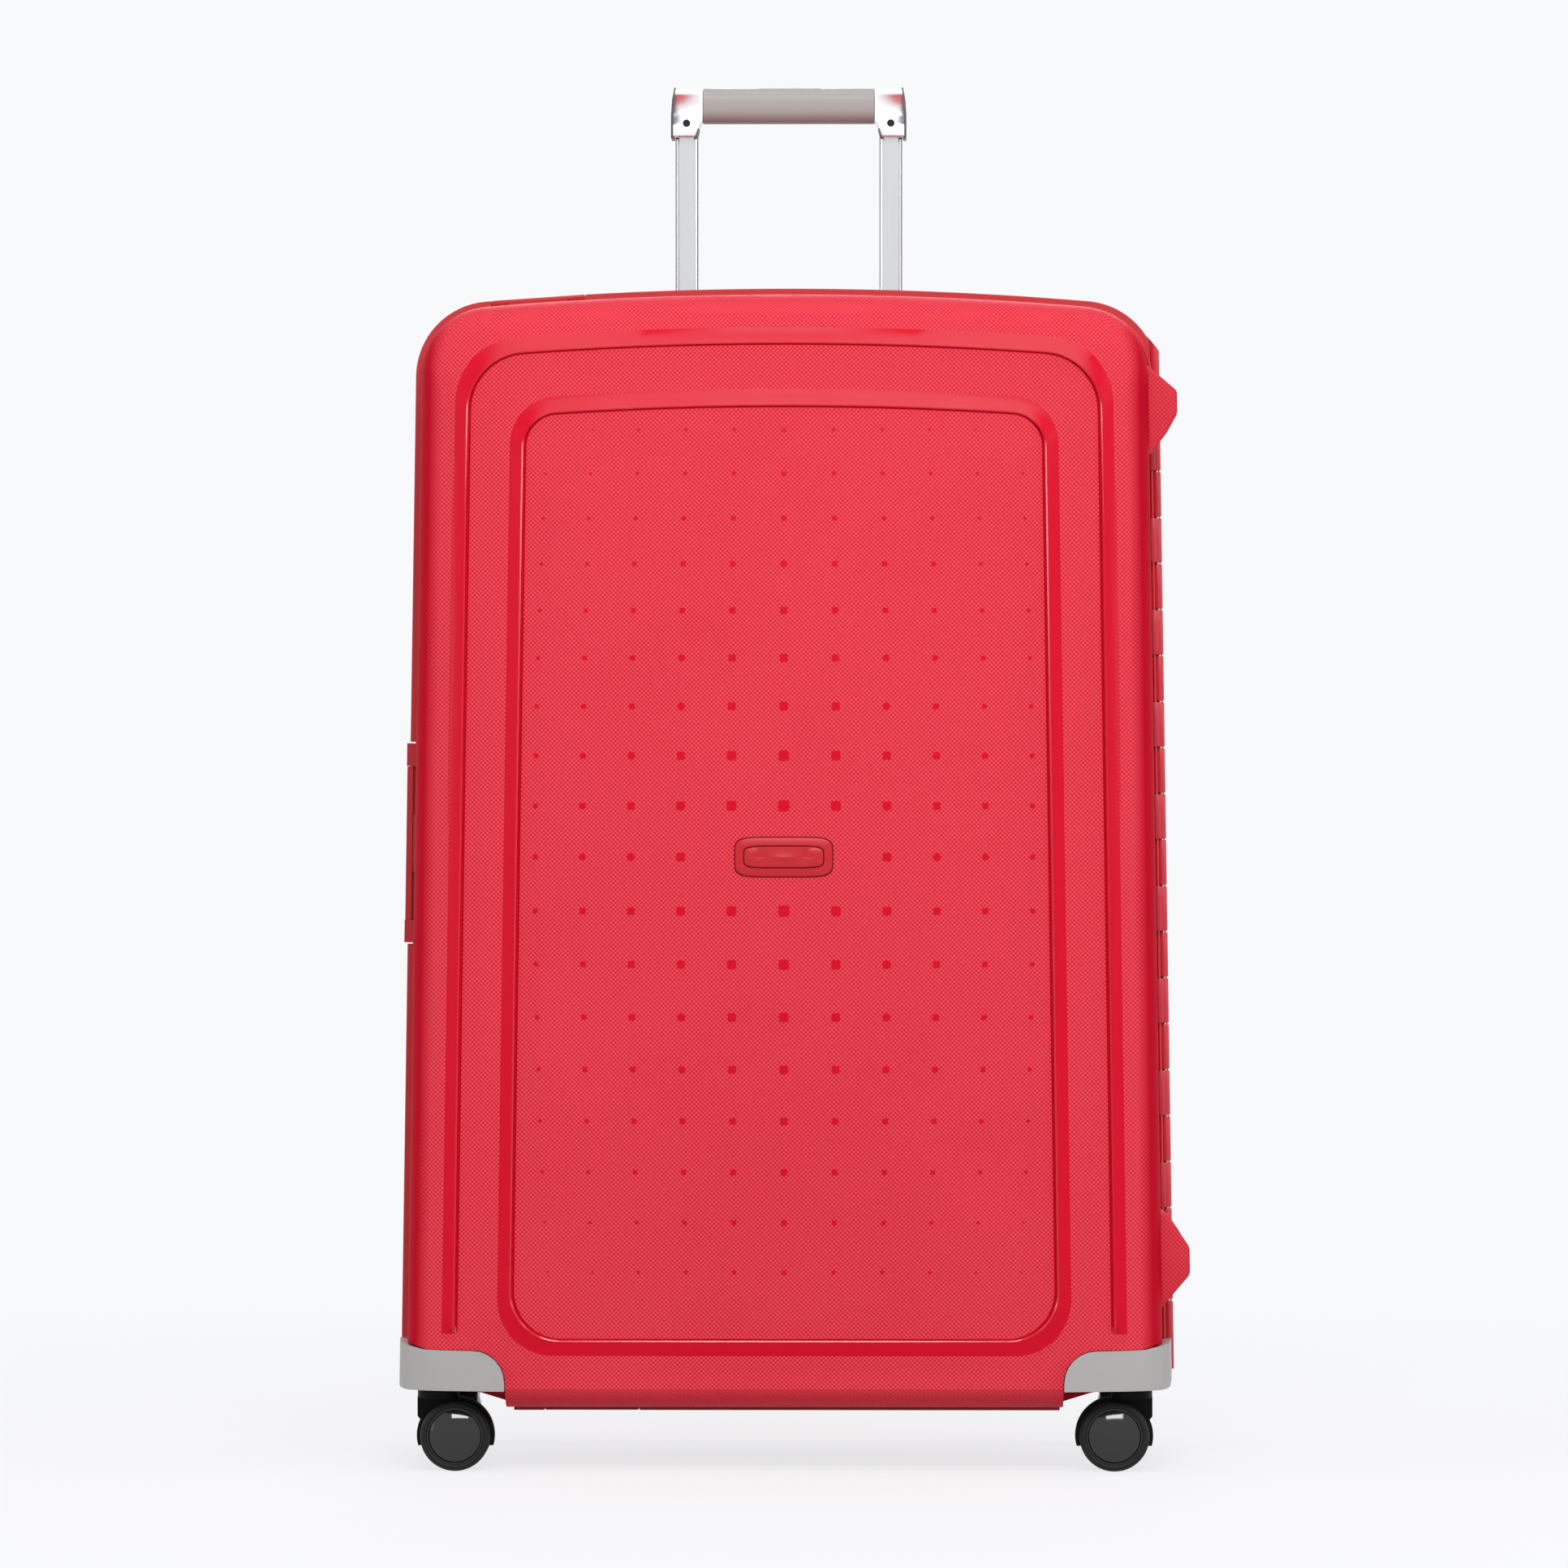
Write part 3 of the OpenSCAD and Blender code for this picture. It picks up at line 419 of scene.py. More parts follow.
# %% [markdown]
# Handling leaves plastic and metal a little uneven. The second group is a soft cloud at one scale with
# a fine speckle on it. The third is the hair-fine brushing of drawn metal, stretched along one axis,
# and the fourth is a plain weave for cloth and webbing.

# %% Node groups for clouds, brushing and weave
cloud_tree, cloud_in, cloud_out = start_group(
    "handled_cloud",
    [("Coordinates", "Vector", None), ("Scale", "Float", 12.0), ("Fine", "Float", 900.0)],
    [("Cloud", "Float"), ("Speckle", "Float")])
for label, scale, detail in (("Cloud", "Scale", 4.0), ("Speckle", "Fine", 1.0)):
    noise = place(cloud_tree, "TexNoise", {"Vector": cloud_in["Coordinates"], "Scale": cloud_in[scale],
                                           "Detail": detail, "Roughness": 0.55})
    cloud_tree.links.new(noise.outputs["Fac"], cloud_out[label])

brush_tree, brush_in, brush_out = start_group(
    "drawn_metal",
    [("Coordinates", "Vector", None), ("Stretch", "Vector", (4000, 4000, 12))],
    [("Streaks", "Float")])
long_way = place(brush_tree, "VectorMath", {0: brush_in["Coordinates"], 1: brush_in["Stretch"]},
                 operation="MULTIPLY")
streaks = place(brush_tree, "TexNoise", {"Vector": long_way.outputs[0], "Scale": 1.0, "Detail": 2.0})
brush_tree.links.new(streaks.outputs["Fac"], brush_out["Streaks"])

weave_tree, weave_in, weave_out = start_group(
    "plain_weave",
    [("Coordinates", "Vector", None), ("Thread", "Float", 0.0008)],
    [("Height", "Float"), ("Tone", "Float")])
count = reckon(weave_tree, "DIVIDE", math.pi, weave_in["Thread"])
cloth = place(weave_tree, "VectorMath", {0: weave_in["Coordinates"], "Scale": count}, operation="SCALE")
swing = place(weave_tree, "VectorMath", {0: cloth.outputs[0]}, operation="SINE")
thread = place(weave_tree, "SeparateXYZ", {0: swing.outputs[0]}).outputs
over = reckon(weave_tree, "MULTIPLY", thread["X"], thread["Z"])
raised = place(weave_tree, "MapRange", {"Value": over, "From Min": -1.0, "From Max": 1.0})
weave_tree.links.new(raised.outputs[0], weave_out["Height"])
fuzz = place(weave_tree, "TexNoise", {"Vector": weave_in["Coordinates"], "Scale": 260.0, "Detail": 3.0})
weave_tree.links.new(fuzz.outputs["Fac"], weave_out["Tone"])
print("cloud, brushing and weave ready")

# %% [markdown]
# A finish is a Principled shader. What is the same all over is set on the shader, and its colour and
# roughness drift between two values with one of the patterns.


# %% Parts of a finish
# Noise seldom leaves this range, so it is the one that is spread
NOISE_LOW = 0.3
NOISE_HIGH = 0.7


def blank(name, rough, metal=0.0, specular=0.5):
    finish = bpy.data.materials.new(name)
    finish.use_nodes = True
    shader = finish.node_tree.nodes["Principled BSDF"]
    shader.inputs["Roughness"].default_value = rough
    shader.inputs["Metallic"].default_value = metal
    shader.inputs["Specular IOR Level"].default_value = specular
    return finish, finish.node_tree, shader


def pattern(tree, group, inputs):
    """The outputs of a node group that is fed with the object's own coordinates."""
    where = place(tree, "TexCoord").outputs
    feeds = {"Coordinates": where["Object"]}
    if "Facing" in group.interface.items_tree:
        feeds["Facing"] = where["Normal"]
    return place(tree, "Group", {**feeds, **inputs}, node_tree=group).outputs


def drift(tree, mask, low, high, target):
    """Lets a socket move between two values or colours with a mask."""
    if isinstance(low, tuple):
        mix = place(tree, "Mix", {0: mask, 6: (*low, 1), 7: (*high, 1)}, data_type="RGBA")
        tree.links.new(mix.outputs[2], target)
    else:
        spread = place(tree, "MapRange", {"Value": mask, "From Min": NOISE_LOW, "From Max": NOISE_HIGH,
                                          "To Min": low, "To Max": high})
        tree.links.new(spread.outputs[0], target)


def bump(tree, shader, height, depth):
    rough_face = place(tree, "Bump", {"Height": height, "Distance": depth * MM, "Strength": 1.0})
    tree.links.new(rough_face.outputs[0], shader.inputs["Normal"])


print("parts of a finish ready")

# %% [markdown]
# Plastic drifts with the cloud. Its bump is the speckle or the moulded grid, and where the grid is, the
# colour carries painted sheen on the crests of the bumps and painted shade in their hollows, and on the
# flanks it turns to a plain darker red of painted shade, as the side walls face away from the lamps.

# %% Plastic finishes
# Painted shade: the darker red that the side walls take, as they face away from the lamps
SHADED_FLANK_RED = (0.560, 0.002, 0.018)
PATCHY = 0.12
DRIFT_ROUGH = 0.03


def plastic(name, dark, light, rough, specular=0.5, grid=0.0, speckle=0.01):
    finish, tree, shader = blank(name, rough, specular=specular)
    colour = shader.inputs["Base Color"]
    cloud = pattern(tree, cloud_tree, {})
    if grid:
        bumps = pattern(tree, grid_tree, {})
        bump(tree, shader, bumps["Height"], grid)
        # Painted sheen and shade of the grid's bumps, with the real patches of the cloud on them
        patches_and_sheen = reckon(tree, "MULTIPLY_ADD", cloud["Cloud"], PATCHY, bumps["Tone"])
        # Painted shade on the flanks
        plain = place(tree, "Mix", {0: bumps["Flank"], 7: (*SHADED_FLANK_RED, 1)}, data_type="RGBA")
        drift(tree, patches_and_sheen, dark, light, plain.inputs[6])
        tree.links.new(plain.outputs[2], colour)
    else:
        bump(tree, shader, cloud["Speckle"], speckle)
        drift(tree, cloud["Cloud"], dark, light, colour)
    drift(tree, cloud["Cloud"], rough - DRIFT_ROUGH, rough + DRIFT_ROUGH, shader.inputs["Roughness"])
    return finish


RED = ((0.660, 0.0020, 0.0200), (0.700, 0.0024, 0.0240))
# The light end of the grained reds, here and on the feet, holds painted sheen, and the dark end painted shade
grained_red = plastic("grained_red", (0.560, 0.003, 0.022), (0.980, 0.094, 0.128), 0.56, 0.03, grid=0.22)
smooth_red = plastic("smooth_red", *RED, 0.30, 0.12, speckle=0.004)
polished_red = plastic("polished_red", *RED, 0.16, speckle=0.002)
foot_red = plastic("foot_red", (0.560, 0.010, 0.030), (0.760, 0.060, 0.085), 0.50, 0.08, grid=0.08)
badge_red = plastic("badge_red", (0.540, 0.020, 0.030), (0.590, 0.025, 0.036), 0.34, 0.2)
# Painted shade: a near-black red laid in the narrow grooves of the badge, where shade falls
groove_shade_red = plastic("groove_shade_red", (0.150, 0.001, 0.003), (0.190, 0.002, 0.005), 0.50, 0.1)
rim_red = plastic("rim_red", (0.500, 0.026, 0.036), (0.560, 0.033, 0.043), 0.40, 0.3)
barrel_red = plastic("barrel_red", (0.600, 0.036, 0.060), (0.660, 0.044, 0.070), 0.34, 0.4)
bumper_grey = plastic("bumper_grey", (0.400, 0.396, 0.388), (0.450, 0.446, 0.438), 0.45, speckle=0.03)
satin_black = plastic("satin_black", (0.003, 0.003, 0.004), (0.006, 0.006, 0.007), 0.42, 0.08, speckle=0.03)
tread_black = plastic("tread_black", (0.009, 0.009, 0.010), (0.015, 0.015, 0.016), 0.60, 0.2, speckle=0.05)
grip_grey = plastic("grip_grey", (0.350, 0.338, 0.328), (0.390, 0.378, 0.366), 0.50, speckle=0.03)
cap_black = plastic("cap_black", (0.004, 0.004, 0.005), (0.007, 0.007, 0.008), 0.07, 0.6, speckle=0.001)
plate_grey = plastic("plate_grey", (0.070, 0.070, 0.074), (0.095, 0.095, 0.100), 0.38, 0.4)
print("plastic finishes ready")

# %% [markdown]
# The trolley tubes are drawn aluminium, with painted shade on their narrow sides. The brackets are plated,
# and pins and screws are plain steel. All are the same shader with metal set to one and the brushing in bump
# and roughness.

# %% Metal finishes
UPRIGHT = (4000, 4000, 12)
SPECKLED = (1500, 1500, 1500)
BRUSH_ROUGH = 0.05


def metal(name, dark, light, rough, stretch, depth):
    finish, tree, shader = blank(name, rough, metal=1.0)
    hair = pattern(tree, brush_tree, {"Stretch": stretch})["Streaks"]
    drift(tree, hair, dark, light, shader.inputs["Base Color"])
    drift(tree, hair, rough - BRUSH_ROUGH, rough + BRUSH_ROUGH, shader.inputs["Roughness"])
    bump(tree, shader, hair, depth)
    return finish


tube_silver = metal("tube_silver", (0.66, 0.67, 0.67), (0.72, 0.73, 0.73), 0.16, UPRIGHT, 0.002)
# Painted shade: darker metals for the narrow sides of the tubes, where they mirror dark
shaded_edge_silver = metal("shaded_edge_silver", (0.15, 0.145, 0.15), (0.20, 0.195, 0.20), 0.34, UPRIGHT, 0.003)
shaded_side_silver = metal("shaded_side_silver", (0.44, 0.44, 0.445), (0.50, 0.50, 0.505), 0.34, UPRIGHT, 0.002)
plated_silver = metal("plated_silver", (0.86, 0.86, 0.87), (0.92, 0.92, 0.93), 0.36, SPECKLED, 0.001)
dark_steel = metal("dark_steel", (0.018, 0.016, 0.018), (0.032, 0.029, 0.032), 0.35, SPECKLED, 0.004)
plain_steel = metal("plain_steel", (0.42, 0.43, 0.44), (0.50, 0.51, 0.52), 0.32, SPECKLED, 0.004)
print("metal finishes ready")

# %% [markdown]
# The lining is a thin woven cloth with a soft sheen, and the straps are a coarser webbing.


# %% Cloth finishes
CLOTH_ROUGH = 0.85
CLOTH_ROUGH_RANGE = (0.78, 0.92)
CLOTH_SPECULAR = 0.2


def woven(name, dark, light, thread, depth, sheen):
    finish, tree, shader = blank(name, CLOTH_ROUGH, specular=CLOTH_SPECULAR)
    shader.inputs["Sheen Weight"].default_value = sheen
    weave = pattern(tree, weave_tree, {"Thread": thread})
    drift(tree, weave["Tone"], dark, light, shader.inputs["Base Color"])
    drift(tree, weave["Tone"], *CLOTH_ROUGH_RANGE, shader.inputs["Roughness"])
    bump(tree, shader, weave["Height"], depth)
    return finish


lining_cloth = woven("lining_cloth", (0.095, 0.100, 0.110), (0.140, 0.145, 0.155), 0.0009, 0.10, 0.25)
strap_webbing = woven("strap_webbing", (0.020, 0.020, 0.022), (0.040, 0.040, 0.043), 0.0018, 0.35, 0.15)
zip_tape = woven("zip_tape", (0.015, 0.015, 0.017), (0.030, 0.030, 0.033), 0.0007, 0.08, 0.10)
print("cloth finishes ready")

# %% [markdown]
# Both shells grow from the same outline: sides that lean in a little towards the top, a gently crowned
# top edge, a flat bottom and four round corners. An outline drawn in by some millimetres on each side
# is one ring, and a stack of rings is skinned into a shell. Going round a ring always takes the same
# number of steps, so that a ring joins the next one point to point.

# %% Outline of the shells
LEAN = math.radians(0.85)
REF_Z = 80
REF_HALF = 262.5
LIP_TOP = 805.5
BELLY = 37.5
CORNER = 48
CROWN_DROP = 8.4
STEPS_END = 20
STEPS_CORNER = 16
STEPS_SIDE = 48
# The legs of the outer rib end above the casters, on a short ramp
RIB_END = 94.6
RIB_RAMP = 4.8


def half_w(z):
    return REF_HALF - (z - REF_Z) * math.tan(LEAN)


CROWN = CROWN_DROP / (half_w(LIP_TOP) - CORNER) ** 2


def span(start, end, steps):
    """Points from start up to, but not including, end."""
    return [tuple(a + (b - a) * k / steps for a, b in zip(start, end)) for k in range(steps)]


def outline(side, top, bottom, r_top, r_bottom):
    """One ring as (x, z) points, drawn in at the sides, the top and the bottom."""
    z_low = BELLY + bottom + r_bottom
    x_low = half_w(z_low) - side - r_bottom
    # The upper corner and the crown meet where their slopes agree, which a few rounds find
    slope = 0.08
    x_end = 200
    for _ in range(6):
        z_high = LIP_TOP - top - CROWN * x_end ** 2 - r_top * math.cos(slope)
        x_high = half_w(z_high) - side - r_top
        x_end = x_high + r_top * math.sin(slope)
        slope = math.atan(2 * CROWN * x_end)

    def corner(x, z, r, start, end):
        angles = [start + (end - start) * k / STEPS_CORNER for k in range(STEPS_CORNER)]
        return [(x + r * math.cos(a), z + r * math.sin(a)) for a in angles]

    low_end = (x_low + r_bottom * math.cos(LEAN), z_low + r_bottom * math.sin(LEAN))
    high_end = z_high + r_top * math.sin(LEAN)
    right = span((0, BELLY + bottom), (x_low, BELLY + bottom), STEPS_END)
    right += corner(x_low, z_low, r_bottom, -math.pi / 2, LEAN)
    foot = max(RIB_END, low_end[1] + 1)
    ramp = max(RIB_END + RIB_RAMP, low_end[1] + 2)
    heights = [low_end[1], foot] + [z for z, in span((ramp,), (high_end,), STEPS_SIDE - 2)]
    right += [(low_end[0] - (z - low_end[1]) * math.tan(LEAN), z) for z in heights]
    right += corner(x_high, z_high, r_top, LEAN, math.pi / 2 - slope)
    for k in range(STEPS_END + 1):
        x = x_end * (1 - k / STEPS_END)
        right.append((x, LIP_TOP - top - CROWN * x * x))
    left = [(-x, z) for x, z in right[-2:0:-1]]
    return right + left


print("outline of", len(outline(0, 0, 0, CORNER, CORNER)), "points")

# %% [markdown]
# The section of a shell, from the lip to the middle of the face, is a list of rings too: a wall that
# draws in by 5.6 mm, a round edge of 34 mm, and a bowed face. Plain rings drawn in by the wall's
# thickness make the inside.

# %% Section of the shells
DRAFT = 5.6
ROUND_DEPTH = 108
EDGE = 34
TURN = 74
PLAIN_STEPS = 6
FACE_RIM = 141.3
FACE_BOW = 23.7
FACE_MID = 421.5
FACE_HALF = (230, 352)
BADGE_Z = 417.6
# Corners tighten as an outline is drawn in, slowly at the top and down to a least radius below
TOP_TIGHTEN = 0.1
LEAST_R = 16


def face(x, z):
    """Depth of the bowed face in front of the seam."""
    return FACE_RIM + FACE_BOW * (1 - (x / FACE_HALF[0]) ** 2) * (1 - ((z - FACE_MID) / FACE_HALF[1]) ** 2)


def even_ring(inset, low=None):
    """An outline drawn in evenly, or by another amount at the bottom; a negative inset grows it."""
    bottom = inset if low is None else low
    r_top = CORNER - inset * (TOP_TIGHTEN if inset > 0 else 1)
    return outline(inset, inset, bottom, r_top, max(CORNER - inset, LEAST_R))


def shrunk(ring, share):
    """A ring drawn towards the middle of the face."""
    return [(x * share, BADGE_Z + (z - BADGE_Z) * share) for x, z in ring]


def level(ring, depth):
    """A ring with its depth at each point, here the same all round."""
    return ring, [depth] * len(ring)


def on_face(ring, under=0):
    return ring, [face(x, z) - under for x, z in ring]


def plain_rings(thick):
    """Rings from the seam to the middle of the face, without ribs."""
    rings = []
    for depth in (0, 36, 72, ROUND_DEPTH):
        rings.append(level(even_ring(thick + DRAFT * depth / ROUND_DEPTH), depth))
    r = EDGE - thick
    for k in range(1, PLAIN_STEPS + 1):
        turn = math.radians(TURN * k / PLAIN_STEPS)
        ring = even_ring(DRAFT + EDGE - r * math.cos(turn))
        rings.append(level(ring, ROUND_DEPTH + r * math.sin(turn)))
    return rings + [on_face(shrunk(ring, share), thick) for share in (0.84, 0.62, 0.4, 0.18, 0.0)]


print("section of", len(plain_rings(3)), "plain rings")

# %% [markdown]
# Two ribs run round the face. Each is a wedge: a smooth band climbs slowly from its outer edge to a
# crest, then a steep wall drops to the grained plastic inside it. The outer rib is an upside-down U
# whose legs stop above the casters, and the inner one runs all the way round. A ring is placed on
# each line of a rib, and its height fades where the rib ends.

# %% Ribs
OUTER_RIB = {"side": (30.3, 38.0, 41.2), "top": (29.6, 39.9, 41.9), "bottom": (30.0, 36.0, 39.5),
             "r_top": (45, 41, 38), "r_bottom": (18, 17, 16), "high": (4.0, 1.7, 0.0)}
INNER_RIB = {"side": (67.8, 76.0, 79.2), "top": (71.6, 82.2, 84.4), "bottom": (42.3, 52.0, 54.2),
             "r_top": (33, 25, 21), "r_bottom": (38, 34, 32), "high": (4.0, 1.7, 1.4)}
# Each line of the wedge: between which two of the three insets it lies, how far, and how high
WEDGE = ((0, 0.0, 0.0), (0, 0.5, 0.5), (0, 0.9, 0.92), (0, 1.0, 1.0), (1, 0.34, 0.72), (1, 0.42, -0.40),
         (1, 0.66, -0.45), (1, 0.72, -0.14), (1, 0.95, 0.0), (1, 1.0, 0.0))
SMOOTH = 0
GRAINED = 1
POLISHED = 2
WEDGE_ZONES = (GRAINED, SMOOTH, SMOOTH, SMOOTH, POLISHED, SMOOTH, SMOOTH, SMOOTH, POLISHED, SMOOTH)


def rib_zones(rib, ends):
    """The zone of each face before each ring of a rib; below its ends the face is grained."""
    made = []
    for zone, (ring, _) in zip(WEDGE_ZONES, rib):
        lowest = [min(here[1], after[1]) for here, after in zip(ring, ring[1:] + ring[:1])]
        made.append([GRAINED if ends and z < RIB_END - 0.1 else zone for z in lowest])
    return made


def rib_rings(rib, ends):
    """Rings over one rib, raised by the height of the rib at each point."""
    made = []
    for between, share, rise in WEDGE:
        sizes = [rib[key][between] * (1 - share) + rib[key][between + 1] * share
                 for key in ("side", "top", "bottom", "r_top", "r_bottom")]
        ring = outline(*sizes)
        depths = []
        for k, (x, z) in enumerate(ring):
            ahead = ring[(k + 1) % len(ring)]
            behind = ring[k - 1]
            run = Vector((ahead[0] - behind[0], ahead[1] - behind[1])).normalized()
            upright = run[1] ** 2
            flat_high = rib["high"][1] if z > FACE_MID else rib["high"][2]
            high = rib["high"][0] * upright + flat_high * (1 - upright)
            if ends:
                high *= min(max((z - RIB_END) / RIB_RAMP, 0), 1)
            depths.append(face(x, z) + high * rise)
        made.append((ring, depths))
    return made


print("ribs of", len(WEDGE), "lines each")

# %% [markdown]
# The outside of a shell starts with the rings of its lip, goes up the wall and round the edge, and
# crosses both ribs on the way to the middle of the face. Each strip between two rings has a zone:
# smooth, grained or polished.

# %% Outside of the shells
EDGE_STEPS = 8
EDGE_SPREAD = 8.2
# The round edge meets the face without a step, and along the bottom it is tighter
EDGE_HIGH = 34.6
LOW_EDGE = 0.6
MIDDLE_SHARES = (0.94, 0.86, 0.76, 0.65, 0.53, 0.41, 0.29, 0.17, 0.06, 0.0)


def between_rings(first, last, shares):
    """Rings on the bare face between two others."""
    made = []
    for share in shares:
        ring = [(a[0] + (b[0] - a[0]) * share, a[1] + (b[1] - a[1]) * share)
                for a, b in zip(first[0], last[0])]
        made.append(on_face(ring))
    return made


def ribbed_rings(edge):
    """Rings from the lip to the middle of the face, with the zone of each face before each ring."""
    def grained(rings):
        return [[GRAINED] * len(ring) for ring, _ in rings]

    lip = [level(even_ring(inset), depth) for inset, depth, _ in edge]
    lip_zones = [[zone] * len(lip[0][0]) for _, _, zone in edge]
    inset, start, _ = edge[-1]
    wall = []
    for depth in (40, 75, ROUND_DEPTH):
        share = (depth - start) / (ROUND_DEPTH - start)
        wall.append(level(even_ring(inset + (DRAFT - inset) * share), depth))
    for k in range(1, EDGE_STEPS + 1):
        turn = math.radians(TURN * k / EDGE_SPREAD)
        drawn = EDGE * (1 - math.cos(turn))
        ring = even_ring(DRAFT + drawn, DRAFT + LOW_EDGE * drawn)
        wall.append(level(ring, ROUND_DEPTH + EDGE_HIGH * math.sin(turn)))
    outer = rib_rings(OUTER_RIB, True)
    inner = rib_rings(INNER_RIB, False)
    gap = between_rings(outer[-1], inner[0], (0.33, 0.67))
    middle = [on_face(shrunk(inner[-1][0], share)) for share in MIDDLE_SHARES]
    zones = lip_zones + grained(wall) + rib_zones(outer, True) + grained(gap)
    return lip + wall + outer + gap + inner + middle, zones + rib_zones(inner, False) + grained(middle)


print("outside of the shells ready")

# %% [markdown]
# Fittings sit on the edges of the case in small frames of their own: along the edge, into the depth
# of the case, and outwards. These functions turn such places into the frame of the whole case.

# %% Frames on the edges
HINGE_X = 267


def on_top(x, a, y, n):
    slope = math.atan(2 * CROWN * x)
    edge = LIP_TOP - CROWN * x * x
    return (x + a * math.cos(slope) + n * math.sin(slope), y,
            edge - a * math.sin(slope) + n * math.cos(slope))


def on_side(z, a, y, n):
    return (-half_w(z) + a * math.sin(LEAN) - n * math.cos(LEAN), y,
            z + a * math.cos(LEAN) + n * math.sin(LEAN))


def on_bottom(x, a, y, n):
    return (x + a, y, BELLY - n)


def on_hinge(u, y, w):
    return (HINGE_X + u * math.cos(LEAN) - w * math.sin(LEAN), y,
            REF_Z + w * math.cos(LEAN) + u * math.sin(LEAN))


def block_on(name, spot, at, low, high, edge=0):
    """A block between two corners of a frame on an edge, with its own edges rounded."""
    (a0, y0, n0), (a1, y1, n1) = low, high
    base = [spot(at, a, y, n0) for a, y in ((a0, y0), (a1, y0), (a1, y1), (a0, y1))]
    push = Vector(spot(at, a0, y0, n1)) - Vector(spot(at, a0, y0, n0))
    block = prism(name, base, push)
    if edge:
        round_edges(block, edge)
    return block


print("frames on the top, side, bottom and hinge ready")

# %% [markdown]
# The hinge is a long row of barrels, in turn on the lid and on the rear half. Each shell is hollowed
# where the barrels of the other one turn.

# %% Hinge line
BARRELS = 20
PITCH = 31.85
HINGE_LOW = 30
HINGE_HIGH = 667
HINGE_ENDS = (-18, 691)
PIN_U = -2.2
BARREL = 3.1
BARREL_ROOM = 0.7


def hinge_prism(name, points, start, end):
    """A prism between two heights on the hinge line; its outline is in (u, y)."""
    push = Vector(on_hinge(0, 0, end - start)) - Vector(on_hinge(0, 0, 0))
    return prism(name, [on_hinge(u, y, start) for u, y in points], push)


def barrel_spans(first):
    """Heights of every second barrel."""
    return [(HINGE_LOW + PITCH * k, HINGE_LOW + PITCH * (k + 1)) for k in range(first, BARRELS, 2)]


def clear_barrels(piece, spans):
    room = [(PIN_U + u, y) for u, y in ring_of(BARREL + BARREL_ROOM, 24)]
    for start, end in spans:
        carve(piece, hinge_prism("barrel_room", room, start, end))


print("hinge line with", BARRELS, "barrels")

# %% [markdown]
# The wheel wells are cut out of the bottom corners. The cutter has the front view of a well, and a
# second one a wall's thickness larger leaves the liner that closes the well inside the case. A low
# arch joins the front well to the rear one.

# %% Wheel wells
WELL_X = 189
WELL_BACK = 64
WELL_R = 22
WELL_TOP = 83.5
WELL_STEPS = 12
# The roof of a well rises outwards from here
ROOF = ((243, 84.2), (400, 121.3))
ARCH = ((189, 43.5), (209, 49.7), (235, 55))
ARCH_START = -9
FAR = 400
UNDER = -50
DEEP = 200


def well_view(grow):
    """Front view of a well on the right, as (x, z) points."""
    points = [(FAR, UNDER), (WELL_X - grow, UNDER)]
    for k in range(WELL_STEPS + 1):
        turn = math.radians(180 - 90 * k / WELL_STEPS)
        r = WELL_R + grow
        points.append((WELL_X + WELL_R + r * math.cos(turn), WELL_TOP - WELL_R + r * math.sin(turn)))
    return points + [(x, z + grow) for x, z in ROOF]


def arch_view(grow):
    inner = [(ARCH[0][0] - grow, UNDER), (ARCH[0][0] - grow, ARCH[0][1] + grow)]
    return [(FAR, UNDER)] + inner + [(x, z + grow) for x, z in ARCH[1:]] + [(FAR, ARCH[2][1] + grow)]


def wells(name, facing, grow):
    """The four cutters of one half, joined into one solid; facing is -1 in front and 1 behind."""
    whole = None
    for side in (1, -1):
        for view, start in ((well_view(grow), WELL_BACK - grow), (arch_view(grow), ARCH_START)):
            points = [(side * x, facing * start, z) for x, z in view]
            tool = prism(name, points, (0, facing * DEEP, 0))
            if whole is None:
                whole = tool
            else:
                carve(whole, tool, "UNION")
    return whole


print("wheel wells ready")

# %% [markdown]
# A shell is skinned from the middle of its inside over the lip to the middle of its outside. The lid is
# the first of the two, with a bead and a groove along its lip.

# %% Lid
WALL = 3
SHELL_CREASE = 20
# Each ring of the lip: how far it is drawn in, its depth, and the zone before it
LID_EDGE = ((0.8, 0.5, SMOOTH), (0.0, 1.3, SMOOTH), (0.0, 5.0, SMOOTH), (0.5, 5.9, POLISHED),
            (1.4, 6.1, POLISHED), (1.8, 5.6, SMOOTH), (1.9, 4.4, SMOOTH), (2.5, 4.4, SMOOTH),
            (2.6, 7.0, SMOOTH))


def in_place(rings, facing):
    return [[(x, facing * depth, z) for (x, z), depth in zip(*ring)] for ring in rings]


def shell(name, facing, edge, finishes):
    """One half of the case, with its walls, ribs and wheel wells."""
    inside = plain_rings(WALL)[::-1]
    outside, zones = ribbed_rings(edge)
    strips = [[GRAINED] * len(inside[0][0])] * (len(inside) - 1) + zones
    body = loft(name, in_place(inside + outside, facing), strips, finishes)
    block = plain_rings(WALL / 2)
    block[0] = level(block[0][0], edge[0][1])
    middle = [[(0, facing * edge[0][1], FACE_MID)] * len(block[0][0])]
    liner = loft(name + "_liner", middle + in_place(block, facing))
    carve(liner, wells("well_skin", facing, WALL), "INTERSECT")
    carve(liner, wells("well_room", facing, 0))
    carve(body, wells("well_cut", facing, 0))
    carve(body, liner, "UNION")
    return body


lid = shell("lid_shell", -1, LID_EDGE, (smooth_red, grained_red, polished_red))
END_ROOMS = [(HINGE_ENDS[0] - BARREL_ROOM, HINGE_LOW), (HINGE_HIGH, HINGE_ENDS[1] + BARREL_ROOM)]
clear_barrels(lid, barrel_spans(1) + END_ROOMS)
smooth(lid, SHELL_CREASE)
settle(lid, "lid", stands_for=("front_shell",))

